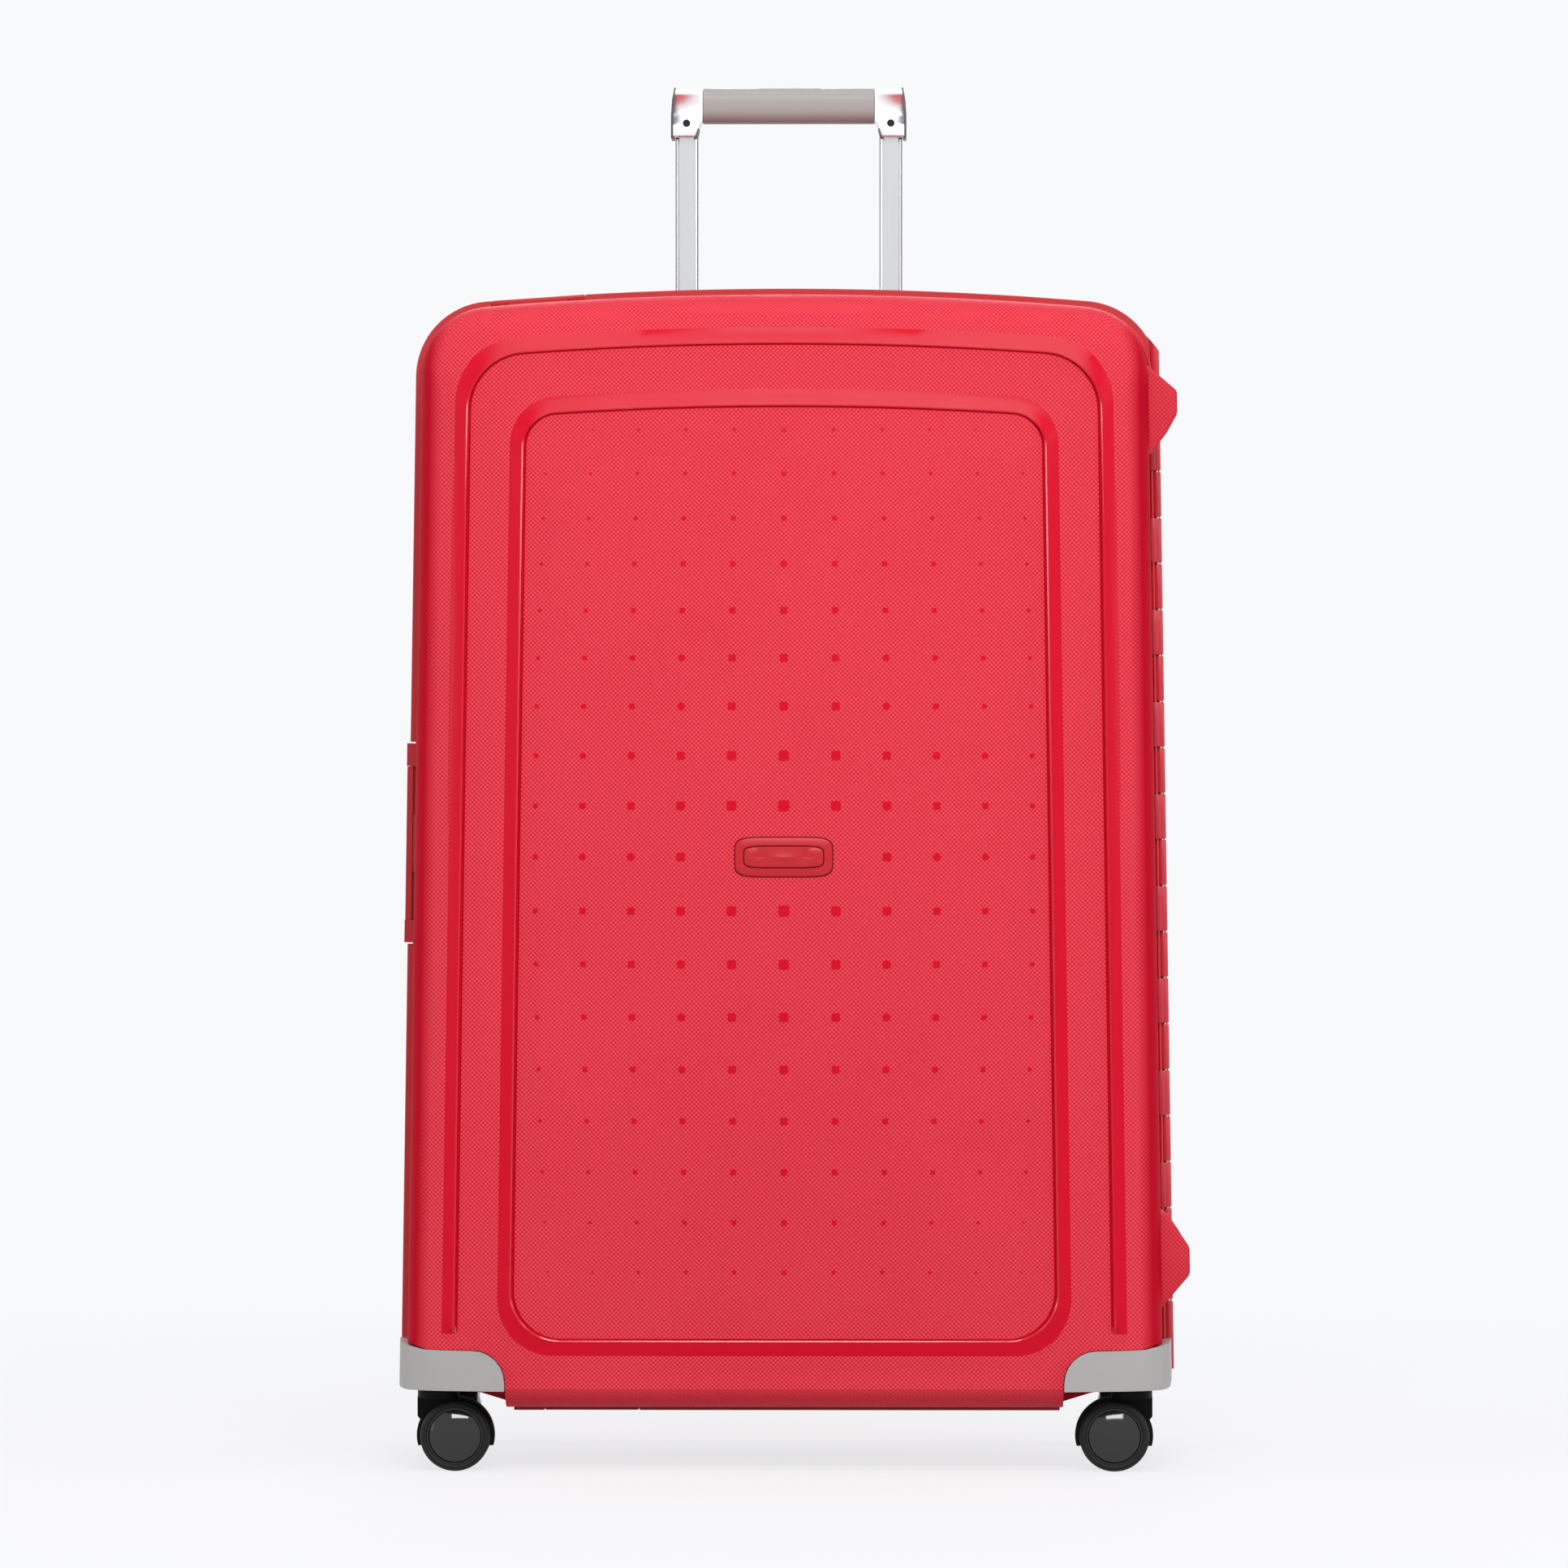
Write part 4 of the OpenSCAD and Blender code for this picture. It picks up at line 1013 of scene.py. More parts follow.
# %% [markdown]
# Small smooth pads stand in rows on the face. They are largest beside the badge and shrink towards the
# edges. One pad is modelled from a plane with rounded corners, and each copy is scaled and laid on the
# bow of the face.

# %% Pads on the faces
PAD_FIRST = 14
PAD_ROWS_UP = (14, 13, 11, 10, 9, 8, 7, 6, 5)
PAD_ROWS_DOWN = (14, 13, 12, 11, 9.5, 8.5, 7, 5.5)
PAD_COLUMNS = (1.0, 0.89, 0.78, 0.67, 0.56, 0.44)
PAD_HIGH = 0.5
PAD_SINK = 0.3
# Rows and columns are counted in units of this many millimetres, and they close up a little outwards
PAD_MM = 0.5467
ROW_UP = (63.6, 0.55)
ROW_DOWN = (67, 0.35)
COLUMN = (65.2, 0.75)
NARROWING = 0.04
NARROW_AT = 474
TOP_ROW = 500


def unit_pad():
    """A pad of one metre, to be scaled: a plane with its corners rounded, raised and drawn in."""
    clear()
    bpy.ops.mesh.primitive_plane_add(size=1)
    piece = bpy.context.object
    all_in_edit()
    bpy.ops.mesh.bevel(affect="VERTICES", offset=0.22, segments=2)
    bpy.ops.mesh.select_all(action="SELECT")
    bpy.ops.mesh.extrude_region_move(TRANSFORM_OT_translate={"value": (0, 0, 1)})
    bpy.ops.transform.resize(value=(0.97, 0.97, 1))
    bpy.ops.object.mode_set(mode="OBJECT")
    tidy_mesh(piece, merge=1.0)
    return piece


def pad_places():
    """(x, z, size) of every pad, in millimetres from the middle of the badge."""
    found = []
    levels = [(0, PAD_FIRST)]
    levels += [(ROW_UP[0] * j - ROW_UP[1] * j * j, size) for j, size in enumerate(PAD_ROWS_UP, 1)]
    levels += [(ROW_DOWN[1] * j * j - ROW_DOWN[0] * j, size) for j, size in enumerate(PAD_ROWS_DOWN, 1)]
    last = len(PAD_COLUMNS) - 1
    for rise, size in levels:
        narrow = 1 - NARROWING * (rise / NARROW_AT) ** 2
        for i in range(-last, last + 1):
            behind_badge = rise == 0 and abs(i) < 2
            if behind_badge or (rise > TOP_ROW and abs(i) == last):
                continue
            run = math.copysign(COLUMN[0] * abs(i) - COLUMN[1] * i * i, i) * narrow
            found.append((run * PAD_MM, rise * PAD_MM, size * PAD_COLUMNS[abs(i)] * PAD_MM))
    return found


def pads(name, facing):
    first = unit_pad()
    laid = []
    for x, rise, size in pad_places():
        z = BADGE_Z + rise
        lean_x = (face(x + 1, z) - face(x - 1, z)) / 2
        lean_z = (face(x, z + 1) - face(x, z - 1)) / 2
        out = Vector((-lean_x, facing, -lean_z)).normalized()
        along = Vector((0, 0, 1)).cross(out).normalized()
        spot = Vector((x, facing * face(x, z), z)) - out * PAD_SINK
        laid.append(stamp(name, first, spot, (along, out.cross(along), out), (size, size, PAD_HIGH)))
    bpy.data.objects.remove(first)
    whole = join(name, laid)
    smooth(whole)
    return whole


settle(pads("lid_pads", -1), "lid", (smooth_red,))

# %% [markdown]
# The rear half is the same shell with a proud rim that the lid closes into. A raised block at the top
# carries the trolley, with a cup cut into it for the grip. The block follows the shell inside.

# %% Raised block for the trolley
BOSS_HALF = 100
BOSS_Y = (94, 147)
BOSS_Z = (690, 800)
BOSS_R = 10
BOSS_STEPS = 6
BOSS_EDGE = 4
BOSS_SINK = 1.0
TUBE_Y = 120
CUP_HALF = (86.2, 13.2)
CUP_R = 6
CUP_Z = (765, 825)
CUP_STEPS = 4


def boss():
    view = [(BOSS_Y[0], BOSS_Z[0]), (BOSS_Y[1], BOSS_Z[0])]
    for k in range(BOSS_STEPS + 1):
        turn = math.radians(90 * k / BOSS_STEPS)
        view.append((BOSS_Y[1] - BOSS_R * (1 - math.cos(turn)), BOSS_Z[1] - BOSS_R * (1 - math.sin(turn))))
    view.append((BOSS_Y[0], BOSS_Z[1]))
    piece = prism("trolley_boss", [(-BOSS_HALF, y, z) for y, z in view], (2 * BOSS_HALF, 0, 0))
    round_edges(piece, BOSS_EDGE, steps=3)
    core = in_place(plain_rings(BOSS_SINK), 1)
    core.insert(0, [(0, 0, FACE_MID)] * len(core[0]))
    carve(piece, loft("core", core))
    return piece


def cup():
    """The room for the grip, as a block with round corners."""
    points = []
    for quarter, (right, back) in enumerate(((1, 1), (-1, 1), (-1, -1), (1, -1))):
        for k in range(CUP_STEPS + 1):
            turn = math.radians(90 * (quarter + k / CUP_STEPS))
            x = right * CUP_HALF[0] + CUP_R * math.cos(turn)
            points.append((x, TUBE_Y + back * CUP_HALF[1] + CUP_R * math.sin(turn), CUP_Z[0]))
    return prism("cup_room", points, (0, 0, CUP_Z[1] - CUP_Z[0]))


print("block and cup ready")

# %% [markdown]
# The rim of the rear half is notched for the latches and hollowed for the hinge barrels of the lid.

# %% Rear shell
RIM = 3
REAR_EDGE = ((-3.9, 0.0, RIM), (-4.5, 0.6, RIM), (-4.5, 7.4, RIM), (-3.9, 8.0, RIM), (0.45, 8.2, RIM),
             (0.5, 9.5, SMOOTH))
# Each notch: its frame, its place on the edge and half its length
TOP_LATCH = (on_top, -172)
BOTTOM_LATCH = (on_bottom, -135)
SIDE_LATCH = (on_side, 426)
NOTCHES = ((TOP_LATCH, 33), (BOTTOM_LATCH, 33), (SIDE_LATCH, 70))
NOTCH_Y = (-1, 9)
NOTCH_N = (0.02, 20)
rear = shell("rear_shell_moulding", 1, REAR_EDGE, (smooth_red, grained_red, polished_red, rim_red))
carve(rear, boss(), "UNION")
carve(rear, cup())
for place_on, half in NOTCHES:
    carve(rear, block_on("notch", *place_on, (-half, NOTCH_Y[0], NOTCH_N[0]), (half, NOTCH_Y[1], NOTCH_N[1])))
clear_barrels(rear, barrel_spans(0))
smooth(rear, SHELL_CREASE)
settle(rear, "rear_half", stands_for=("rear_shell",))
settle(pads("rear_pads", 1), "rear_half", (smooth_red,))

# %% [markdown]
# A barrel is a round nose on a flat arm. Its outline is drawn once and pushed along the leaning edge
# of the case, with a small gap to its neighbours. The row ends at the top in a slant.

# %% Hinge barrels
ARM_IN = -7
ARM_OUT = -3.2
ARM_DEEP = 9
ARM_NEAR = 0.8
NOSE_STEPS = 20
BARREL_GAP = 0.5
BARREL_EDGE = 0.6
# What is cut off the upper end, as (u, w)
SLANT_TOP = 699.5
SLANT = ((-9, 699.5), (4, 682.5), (4, 703.5), (-9, 703.5))
SLANT_DEEP = 12


def barrel(start, end, facing):
    """One barrel between two heights on the hinge line; facing is -1 on the lid and 1 behind."""
    first = math.acos((ARM_OUT - PIN_U) / BARREL)
    last = -math.pi - math.asin(ARM_NEAR / BARREL)
    points = [(ARM_IN, facing * ARM_DEEP), (ARM_OUT, facing * ARM_DEEP)]
    for k in range(NOSE_STEPS + 1):
        turn = first + (last - first) * k / NOSE_STEPS
        points.append((PIN_U + BARREL * math.cos(turn), facing * BARREL * math.sin(turn)))
    points.append((ARM_IN, facing * ARM_NEAR))
    piece = hinge_prism("barrel", points, start, end)
    round_edges(piece, BARREL_EDGE)
    return piece


def barrel_row(first, facing):
    return [barrel(low + BARREL_GAP, high - BARREL_GAP, facing) for low, high in barrel_spans(first)]


low_end = barrel(HINGE_ENDS[0], HINGE_LOW - 2 * BARREL_GAP, 1)
top_end = barrel(HINGE_HIGH + 2 * BARREL_GAP, SLANT_TOP, 1)
slanted = [on_hinge(u, -SLANT_DEEP, w) for u, w in SLANT]
carve(top_end, prism("slant", slanted, (0, 2 * SLANT_DEEP, 0)))
smooth(top_end)
settle(join("lid_barrels", barrel_row(0, -1)), "lid", (barrel_red,))
rear_row = barrel_row(1, 1) + [low_end, top_end]
settle(join("rear_barrels", rear_row), "rear_half", (barrel_red,))

# %% [markdown]
# Beside the hinge each half has two feet, on which the case lies on its side. They are wedges with
# rounded edges and the same moulded grid as the shells.

# %% Side feet
HIGH_FOOT = ((-16, 606), (-6.2, 615), (2.2, 626), (9.5, 638.7), (9.5, 654.4), (-16, 677))
LOW_FOOT = ((-16, 24), (-0.5, 41.6), (9.5, 52.9), (9.5, 71.4), (-4.2, 92.2), (-16, 102))
FOOT_START = 58
FOOT_LONG = 47
FOOT_EDGE = 2.2
for name, facing, body in (("lid_feet", -1, "lid"), ("rear_feet", 1, "rear_half")):
    pair = []
    for view in (HIGH_FOOT, LOW_FOOT):
        points = [on_hinge(u, facing * FOOT_START, w) for u, w in view]
        foot = prism("foot", points, (0, facing * FOOT_LONG, 0))
        round_edges(foot, FOOT_EDGE, steps=3, angle=20)
        pair.append(foot)
    settle(join(name, pair), body, (foot_red,))

# %% [markdown]
# Many fittings have the right shape in the frame already, only with edges that are too sharp. A copy
# of such a node is merged, its flat triangles are dissolved into whole faces, and a small bevel breaks
# its edges. The copy then stands for the node. Some nodes only need a better material.


# %% Copies with broken edges
def moulded(node, width, finish, steps=2, angle=28):
    pick(nodes[node])
    bpy.ops.object.duplicate()
    piece = bpy.context.object
    piece.name = node + "_piece"
    piece.parent = None
    body = piece["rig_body"]
    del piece["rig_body"]
    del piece["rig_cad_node"]
    bpy.ops.mesh.customdata_custom_splitnormals_clear()
    all_in_edit()
    bpy.ops.mesh.remove_doubles(threshold=0.002 * MM)
    bpy.ops.mesh.dissolve_limited(angle_limit=math.radians(2))
    bpy.ops.object.mode_set(mode="OBJECT")
    round_edges(piece, width, steps, angle)
    flat_faces(piece)
    return settle(piece, body, (finish,), (node,))


def refinish(finish, *names):
    """A node whose shape is right keeps its mesh and gets a better material."""
    for name in names:
        nodes[name].data.materials.clear()
        nodes[name].data.materials.append(finish)
    print(len(names), "nodes in", finish.name)


CORNERS = [f"{end}_{side}" for end in ("front", "rear") for side in ("left", "right")]
# The bumpers reach out as far as the rim
BUMPER_OUT = 4.5
BUMPER_SIDE = (236, 256)
for corner in CORNERS:
    bumper = moulded(f"bumper_{corner}", 1.0, bumper_grey)
    for vertex in bumper.data.vertices:
        share = (abs(vertex.co.x) / MM - BUMPER_SIDE[0]) / (BUMPER_SIDE[1] - BUMPER_SIDE[0])
        vertex.co.x += math.copysign(BUMPER_OUT * MM * min(max(share, 0), 1), vertex.co.x)
    moulded(f"fork_{corner}", 0.8, satin_black)

# %% [markdown]
# A twin wheel is two tyres on two hubs. Both are turned shapes, so each is drawn as one side of its
# section and spun round the axle. The hub's outer face is a bare gloss dome inside a thin groove.


# %% Wheels
def turned(name, section, centre, axle):
    """A closed section of (radius, distance along the axle), spun round the axle."""
    clear()
    bpy.ops.mesh.primitive_circle_add(vertices=len(section), fill_type="NOTHING")
    piece = bpy.context.object
    piece.name = name
    for vertex, (r, y) in zip(piece.data.vertices, section):
        vertex.co = (Vector((0, 0, r)) + axle * y) * MM + centre
    all_in_edit()
    bpy.ops.mesh.spin(steps=64, angle=2 * math.pi, center=centre, axis=axle)
    bpy.ops.object.mode_set(mode="OBJECT")
    tidy_mesh(piece, merge=0.01)
    smooth(piece)
    return piece


TYRE = ((19.3, 5.2), (20.9, 5.2), (22.4, 5.7), (23.4, 7.0), (23.75, 8.6), (23.75, 13.8), (23.4, 15.4),
        (22.4, 16.5), (20.9, 16.9), (19.3, 16.4))
DOME_R = 42
DOME_TOP = 19.2
DOME_RADII = (17.6, 16, 14, 12, 10, 8, 6, 4, 2, 0)
HUB = [(2.6, 4.9), (19.2, 4.9), (19.25, 15.8), (18.9, 16.2), (18.2, 16.3), (17.9, 15.9), (17.8, 15.0)]
HUB += [(r, DOME_TOP - DOME_R + math.sqrt(DOME_R ** 2 - r * r)) for r in DOME_RADII]
HUB += [(0.0, 12.2), (2.6, 12.2)]
for corner in CORNERS:
    low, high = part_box(f"tyres_{corner}")
    middle = (low + high) / 2
    axle = Vector((0, 1, 0)) if high.x - low.x > high.y - low.y else Vector((1, 0, 0))
    for node, section, finish, slot in (("tyres", TYRE, tread_black, "tread"),
                                        ("hubs", HUB, cap_black, "gloss_black")):
        pair = [turned(node, [(r, side * y) for r, y in section], middle, axle) for side in (1, -1)]
        name = f"{node}_{corner}"
        settle(join(name + "_turned", pair), "wheels_" + corner, (finish,), (name,))

# %% [markdown]
# The latches turn on pins between small ears of the rear shell, and the dials of the lock dip into a
# pocket behind its side wall. Both belong to the moulding, so they are red like it.

# %% Latch ears and lock pocket
EAR_STARTS = (-36.3, 32.3)
EAR_LONG = 4
EAR_Y = (28, 38)
EAR_N = (-6, 4.8)
EAR_EDGE = 0.8
POCKET_LOW = (-30.4, 41.1, -7.3)
POCKET_HIGH = (0.4, 58.9, -1.5)
POCKET_EDGE = 1.0
ears = []
for latch in (TOP_LATCH, BOTTOM_LATCH):
    for a in EAR_STARTS:
        corners = (a, EAR_Y[0], EAR_N[0]), (a + EAR_LONG, EAR_Y[1], EAR_N[1])
        ears.append(block_on("ear", *latch, *corners, EAR_EDGE))
pocket = block_on("pocket", *SIDE_LATCH, POCKET_LOW, POCKET_HIGH, POCKET_EDGE)
settle(join("latch_ears_and_pocket", ears + [pocket]), "rear_half", (smooth_red,))

# %% [markdown]
# The lever of the top and the bottom latch is a thin plate that lies flush with the rim. Its nose hooks
# down over the ridge of the keeper, with a tab on each side of it, and its round end is bored for the
# pin. It is a duller red than the shells.

# %% Latch levers
LEVER_HALF = 31.9
LEVER_TOP = 4.4
LEVER_EDGE = 0.35
PIVOT = (33, 2.6)
HEEL_R = 2.0
HEEL_STEPS = 9
HEEL_START = 64
HEEL_SWEEP = 154
PIN_BORE = 1.3
NOSE = ((33, 0.6), (5, 0.6), (5, 2.3), (1.3, 2.3), (1.3, 1.45), (0.4, 1.45), (0.4, LEVER_TOP))
# The tabs stay a little inside the faces of the plate, so that no two faces share a plane
TABS = ((-32.7, -20.6), (20.6, 32.7))
TAB_Y = (0.75, 8.4)
TAB_N = (0.3, 4.05)


def lever(name, spot, at):
    """The lever of the latch in one of the frames on the edges."""
    def along(label, view, half):
        base = [spot(at, -half, y, n) for y, n in view]
        push = Vector(spot(at, half, 0, 0)) - Vector(spot(at, -half, 0, 0))
        return prism(label, base, push)

    heel = []
    for k in range(HEEL_STEPS):
        turn = math.radians(HEEL_START - HEEL_SWEEP * k / HEEL_STEPS)
        heel.append((PIVOT[0] + HEEL_R * math.cos(turn), PIVOT[1] + HEEL_R * math.sin(turn)))
    plate = along(name, list(NOSE) + [(PIVOT[0], LEVER_TOP)] + heel, LEVER_HALF)
    round_edges(plate, LEVER_EDGE)
    bore = [(PIVOT[0] + a, PIVOT[1] + b) for a, b in ring_of(PIN_BORE, 24)]
    carve(plate, along("bore", bore, LEVER_HALF + 1))
    smooth(plate)
    tabs = []
    for low, high in TABS:
        corners = (low, TAB_Y[0], TAB_N[0]), (high, TAB_Y[1], TAB_N[1])
        tabs.append(block_on("tab", spot, at, *corners, LEVER_EDGE))
    return join(name, [plate] + tabs)


for node, latch in (("top_latch", TOP_LATCH), ("bottom_latch", BOTTOM_LATCH)):
    settle(lever(node + "_lever", *latch), node, (rim_red,), (node,))

# %% [markdown]
# The side latch, the lock and the carry handles keep the frame's shapes with broken edges. The side
# latch and the lock are the duller red, like the keepers on the lid, and handles and dials are black.
# Pins are steel.

# %% Lock and carry handles
for node in ("side_latch", "lock_housing"):
    moulded(node, 0.7, rim_red)
for node in ("top_handle", "side_handle", "top_handle_mounts", "side_handle_mounts"):
    moulded(node, 1.1, satin_black)
for node in ("lock_dial_1", "lock_dial_2", "lock_dial_3", "lock_slider"):
    moulded(node, 0.3, satin_black)
refinish(plain_steel, "latch_pins", "lock_cylinder", "hinge_pin", "stems_front", "stems_rear")
refinish(rim_red, "latch_keepers")
refinish(plain_steel, *[f"axle_{corner}" for corner in CORNERS])

# %% [markdown]
# In the middle of the lid sits a bare badge: a frame with softly bowed sides round a raised plate, with a
# groove round each that is painted dark as shade. Its rings are superellipses that lie on the bow of the
# face.

# %% Badge
BADGE_STEPS = 96
BADGE_POWER = 5.5
BADGE_HALF = (33.4, 13.8)
BADGE_MIDDLE = 2.4
PLATE_HALF = (26.6, 7.0)
# Each ring: which outline it follows, how far inside that, how high above the face, and whether it takes the
# painted shade of the grooves
BADGE_RINGS = ((BADGE_HALF, 0.0, -0.4, True), (BADGE_HALF, 0.0, 0.2, True), (BADGE_HALF, 0.7, 0.3, True),
               (BADGE_HALF, 0.8, 1.0, False), (BADGE_HALF, 1.6, 1.4, False), (PLATE_HALF, -1.0, 1.6, False),
               (PLATE_HALF, -0.7, 1.4, False), (PLATE_HALF, -0.6, 0.8, True), (PLATE_HALF, 0.0, 0.8, True),
               (PLATE_HALF, 0.1, 1.8, False), (PLATE_HALF, 0.7, 2.2, False), (PLATE_HALF, 6.9, 2.35, False))


def badge_ring(half, inside, high):
    points = []
    for across, up in ring_of(1, BADGE_STEPS):
        reach = (abs(across) ** BADGE_POWER + abs(up) ** BADGE_POWER) ** (-1 / BADGE_POWER)
        x = (half[0] - inside) * reach * across
        z = BADGE_Z + (half[1] - inside) * reach * up
        points.append((x, -face(x, z) - high, z))
    return points


badge_rings = [badge_ring(half, inside, high) for half, inside, high, _ in BADGE_RINGS]
badge_rings.append([(0, -face(0, BADGE_Z) - BADGE_MIDDLE, BADGE_Z)] * BADGE_STEPS)
# Painted shade in the grooves: the dark rings take the near-black red
badge_zones = [[0 if dark else 1] * BADGE_STEPS for _, _, _, dark in BADGE_RINGS[1:]] + [[1] * BADGE_STEPS]
badge = loft("badge_plate", badge_rings, badge_zones, (groove_shade_red, badge_red))
smooth(badge)
settle(badge, "lid", stands_for=("badge",))

# %% [markdown]
# A bracket at each end of the grip is a plated block with a dark plate along its outer side and a dark
# foot at its inner corner. Its front is hollowed, so that it mirrors the red of the case.

# %% Grip brackets
BRACKET_VIEW = ((60.6, 956.6), (80.4, 956.6), (81.6, 948), (82.2, 938), (82.2, 923.2), (65.6, 923.2),
                (63.6, 929), (61.6, 932.6), (60.6, 934))
PLATE_VIEW = ((79.6, 957.6), (80.6, 958), (82.3, 949), (83.0, 938), (83.0, 922.1), (80.6, 922.1),
              (80.6, 923.2), (81.3, 923.6), (81.3, 938), (80.4, 949))
FOOT_VIEW = ((63.0, 929), (64.4, 923.6), (64.4, 922.1), (66.8, 922.1), (66.8, 923.4), (65.7, 923.4),
             (64.2, 929))
BRACKET_FRONT = 105.5
BRACKET_DEPTH = 29
BRACKET_EDGE = 0.9
PLATE_EDGE = 0.3
TOE_EDGE = 0.2
# The hollow at its inner and its outer end
SCOOP_X = (62.4, 84)
SCOOP_LOW = (938, 930.5)
SCOOP_DEEP = (2.0, 15.5)
SCOOP_TOP = 953.4
SCOOP_STEPS = 10
SCOOP_ARC = 16
SCOOP_FRONT = BRACKET_FRONT - 3
SCREW = {"x": 72, "z": 932.7, "r": 2.7, "deep": 3}


def scoop(side):
    """The tool that hollows a bracket, steepest at the top and deeper towards the outer side."""
    rings = []
    for k in range(SCOOP_STEPS + 1):
        share = k / SCOOP_STEPS
        x, low, deep = (a + (b - a) * share for a, b in (SCOOP_X, SCOOP_LOW, SCOOP_DEEP))
        ring = [(side * x, SCOOP_FRONT, SCOOP_TOP)]
        for j in range(SCOOP_ARC + 1):
            down = j / SCOOP_ARC
            y = BRACKET_FRONT + deep * down * (1 - down * down)
            ring.append((side * x, y, SCOOP_TOP + (low - SCOOP_TOP) * down))
        rings.append(ring + [(side * x, SCOOP_FRONT, low)])
    caps = []
    for x, low in zip(SCOOP_X, SCOOP_LOW):
        caps.append([(side * x, SCOOP_FRONT + 1, (low + SCOOP_TOP) / 2)] * len(rings[0]))
    return loft("scoop", [caps[0]] + rings + [caps[1]])


def bracket(side):
    """One end bracket; side is -1 on the left and 1 on the right."""
    def push_back(name, view, edge):
        points = [(side * x, BRACKET_FRONT, z) for x, z in view]
        made = prism(name, points, (0, BRACKET_DEPTH, 0))
        round_edges(made, edge, steps=3)
        return made

    block = push_back("bracket", BRACKET_VIEW, BRACKET_EDGE)
    carve(block, scoop(side))
    ring = ring_of(SCREW["r"], 32)
    bore = [(side * SCREW["x"] + a, BRACKET_FRONT - 1, SCREW["z"] + b) for a, b in ring]
    carve(block, prism("bore", bore, (0, SCREW["deep"] + 1, 0)))
    smooth(block)
    block.data.materials.append(plated_silver)
    trims = [push_back("plate", PLATE_VIEW, PLATE_EDGE), push_back("foot", FOOT_VIEW, TOE_EDGE)]
    for trim in trims:
        trim.data.materials.append(plate_grey)
    return [block] + trims


for side, word in ((-1, "left"), (1, "right")):
    whole = join(f"grip_bracket_{word}_piece", bracket(side))
    settle(whole, "upper_stage", stands_for=(f"grip_bracket_{word}",))

# %% [markdown]
# The trolley is three nested pairs of aluminium tubes. The grip is a soft grey plastic, and the collars,
# guides and the cup for the grip are black. The narrow sides of the tubes carry a painted shade, darker than
# their fronts.

# %% Trolley
TUBE_EDGE = 0.72
TUBE_LEAN = 0.12
moulded("trolley_grip", 1.6, grip_grey, steps=3)
moulded("release_button", 0.5, grip_grey)
for node in ("trolley_well", "trolley_foot", "trolley_collars", "trolley_guides"):
    moulded(node, 0.5, satin_black)
for node in ("trolley_outer_tubes", "trolley_middle_tubes", "trolley_upper_tubes"):
    tube = moulded(node, 0.15, tube_silver)
    tube.data.materials.append(shaded_edge_silver)
    tube.data.materials.append(shaded_side_silver)
    # Painted shade: faces of a tube that turn sideways take the darker metals
    for polygon in tube.data.polygons:
        lean = polygon.normal.x * math.copysign(1, polygon.center.x)
        if abs(lean) > TUBE_EDGE:
            polygon.material_index = 1
        elif lean > TUBE_LEAN:
            polygon.material_index = 2
refinish(dark_steel, "grip_screws")
refinish(plain_steel, "release_rods")

# %% [markdown]
# Inside, cloth is stretched over each half. A stretched cloth is almost flat, with small gathers where
# it is sewn round its edge and a stitched channel a little inside that. It is skinned from rings that
# shrink towards its middle, a front face and a back face with a thin edge between them.

# %% Divider and lining
CLOTH_SHARES = (1.0, 0.985, 0.965, 0.945, 0.93, 0.91, 0.86, 0.75, 0.6, 0.45, 0.3, 0.15, 0.0)
GATHERS = 46
GATHER_FADE = 0.06
GATHER_HIGH = 0.25
CHANNEL = 0.945
CHANNEL_WIDE = 0.012
CHANNEL_DEEP = 0.55
CLOTH_ROOM = 4.2
CLOTH_CREASE = 50
# How far each cloth is drawn in from the outline, and the depths of its front and its back
DIVIDER_INSET = 4.6
DIVIDER_Y = (-10.1, -13.6)
LINING_INSET = 9.2
LINING_Y = (97.1, 98.4)


def stretched_cloth(name, ring, front, back, towards):
    """Cloth between two depths; towards is the side from which it is seen."""
    rings = [[(x, back, z) for x, z in shrunk(ring, share)] for share in CLOTH_SHARES[::-1]]
    for share in CLOTH_SHARES:
        sewn = math.exp(-((share - CHANNEL) / CHANNEL_WIDE) ** 2)
        pull = math.exp(-(1 - share) / GATHER_FADE)
        row = []
        for k, (x, z) in enumerate(shrunk(ring, share)):
            ripple = math.sin(2 * math.pi * GATHERS * k / len(ring)) * pull
            sink = CHANNEL_DEEP * sewn + GATHER_HIGH + GATHER_HIGH * ripple
            row.append((x, front - towards * sink, z))
        rings.append(row)
    piece = loft(name, rings)
    carve(piece, wells(name + "_room", -towards, CLOTH_ROOM))
    smooth(piece, CLOTH_CREASE)
    return piece


divider = stretched_cloth("divider_cloth", even_ring(DIVIDER_INSET), *DIVIDER_Y, 1)
settle(divider, "lid", (lining_cloth,), ("divider_panel",))
lining = stretched_cloth("rear_lining_cloth", even_ring(LINING_INSET), *LINING_Y, -1)
settle(lining, "rear_half", (lining_cloth,), ("rear_lining",))

# %% [markdown]
# A zip closes the divider. Its tape is a flat ring, and its teeth are small blocks in two rows that
# face each other. One tooth is modelled and copied along the line of the tape.

# %% Zip of the divider
# The section of the tape, as insets from the outline and depths
TAPE = ((18.0, -9.7), (18.0, -9.3), (21.4, -9.2), (24.6, -9.2), (28.0, -9.3), (28.0, -9.7), (18.0, -9.7))
TEETH_INSET = 23.0
TEETH_Y = -8.95
TOOTH_STEP = 2.5
TOOTH_ASIDE = 0.7
TOOTH_SIZE = (1.7, 3.0, 0.9)
UP_FROM_TAPE = Vector((0, 1, 0))


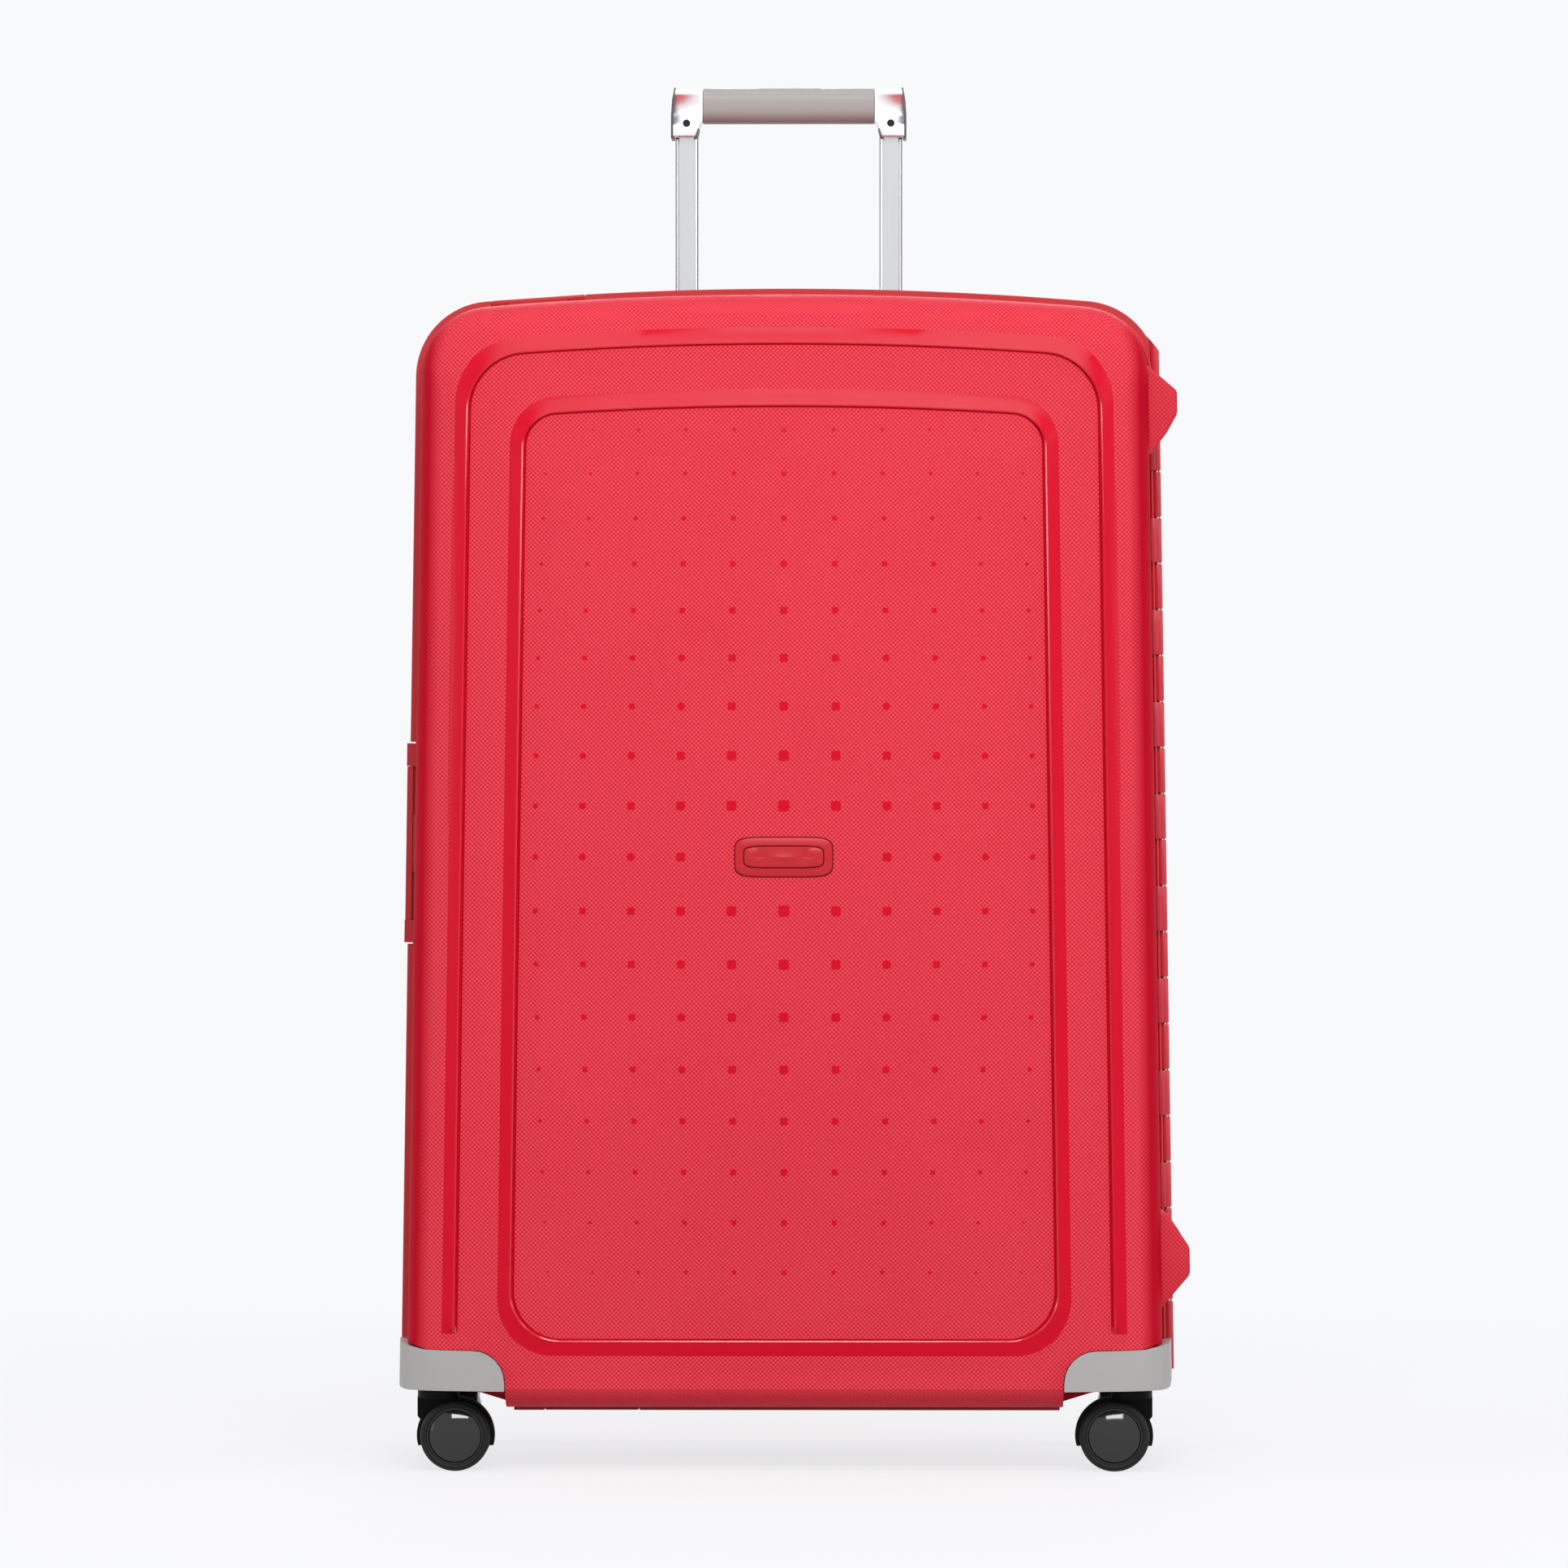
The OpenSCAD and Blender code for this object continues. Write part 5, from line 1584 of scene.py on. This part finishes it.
def tooth():
    """A tooth one metre long, to be scaled: a block with its edges cut off."""
    clear()
    bpy.ops.mesh.primitive_cube_add(size=1)
    piece = bpy.context.object
    all_in_edit()
    bpy.ops.mesh.bevel(offset=0.18, segments=1)
    bpy.ops.object.mode_set(mode="OBJECT")
    return piece


def zip_chain():
    line = [Vector((x, 0, z)) for x, z in even_ring(TEETH_INSET)]
    first = tooth()
    teeth = []
    run = 0.0
    for start, end in zip(line, line[1:] + line[:1]):
        gap = end - start
        along = gap.normalized()
        inward = along.cross(UP_FROM_TAPE)
        while run < gap.length:
            aside = TOOTH_ASIDE if len(teeth) % 2 else -TOOTH_ASIDE
            spot = start + along * run + inward * aside + UP_FROM_TAPE * TEETH_Y
            teeth.append(stamp("tooth", first, spot, (along, inward, UP_FROM_TAPE), TOOTH_SIZE))
            run += TOOTH_STEP
        run -= gap.length
    bpy.data.objects.remove(first)
    return join("zip_teeth", teeth)


tape = loft("zip_tape_ring", [[(x, y, z) for x, z in even_ring(inset)] for inset, y in TAPE])
smooth(tape, CLOTH_CREASE)
chain = settle(zip_chain(), "lid", (satin_black,))
settle(tape, "lid", (zip_tape,), ("divider_zip",))
moulded("zip_slider", 0.5, plain_steel)

# %% [markdown]
# Four webbing straps cross the rear half and meet in a round buckle. A strap is a long flat loft with
# rounded edges that arches slightly over what is packed.

# %% Packing straps and buckle
STRAP_REACH = (196, 250)
STRAP_START = 30
STRAP_STEPS = 24
STRAP_Y = 96.05
STRAP_ARCH = 0.15
STRAP_SECTION = ((-15, 0.1), (-14.6, 0.6), (0, 0.7), (14.6, 0.6), (15, 0.1), (14.6, -0.5), (0, -0.6),
                 (-14.6, -0.5))
BUCKLE = ((0.0, 0.0), (35.0, 0.0), (35.0, -3.4), (34.2, -4.4), (32.8, -4.9), (20.0, -5.0), (19.0, -4.6),
          (18.4, -3.2), (17.6, -3.2), (17.0, -4.6), (16.0, -5.0), (0.0, -4.6))
BUCKLE_Y = 96.9


def strap(name, right, up):
    """A strap towards one corner, and its length."""
    along = Vector((right * STRAP_REACH[0], 0, up * STRAP_REACH[1]))
    length = along.length
    along.normalize()
    across = Vector((-along.z, 0, along.x))
    rings = []
    for k in range(STRAP_STEPS + 1):
        share = k / STRAP_STEPS
        arch = STRAP_ARCH * math.sin(math.pi * share)
        middle = along * (STRAP_START + (length - STRAP_START) * share)
        middle += Vector((0, STRAP_Y - arch, FACE_MID))
        rings.append([middle + across * a - Vector((0, b, 0)) for a, b in STRAP_SECTION])
    ends = [along * reach + Vector((0, STRAP_Y, FACE_MID)) for reach in (STRAP_START, length)]
    caps = [[end] * len(STRAP_SECTION) for end in ends]
    piece = loft(name, [caps[0]] + rings + [caps[1]])
    smooth(piece, CLOTH_CREASE)
    return piece, length - STRAP_START


for number, (right, up) in enumerate(((-1, -1), (-1, 1), (1, -1), (1, 1)), 1):
    band, length = strap(f"packing_strap_{number}", right, up)
    stands_for = ("packing_straps",) if number == 1 else ()
    settle(band, "rear_half", (strap_webbing,), stands_for)
buckle = turned("buckle_disc", BUCKLE, Vector((0, BUCKLE_Y, FACE_MID)) * MM, Vector((0, 1, 0)))
settle(buckle, "rear_half", (satin_black,), ("strap_buckle",))
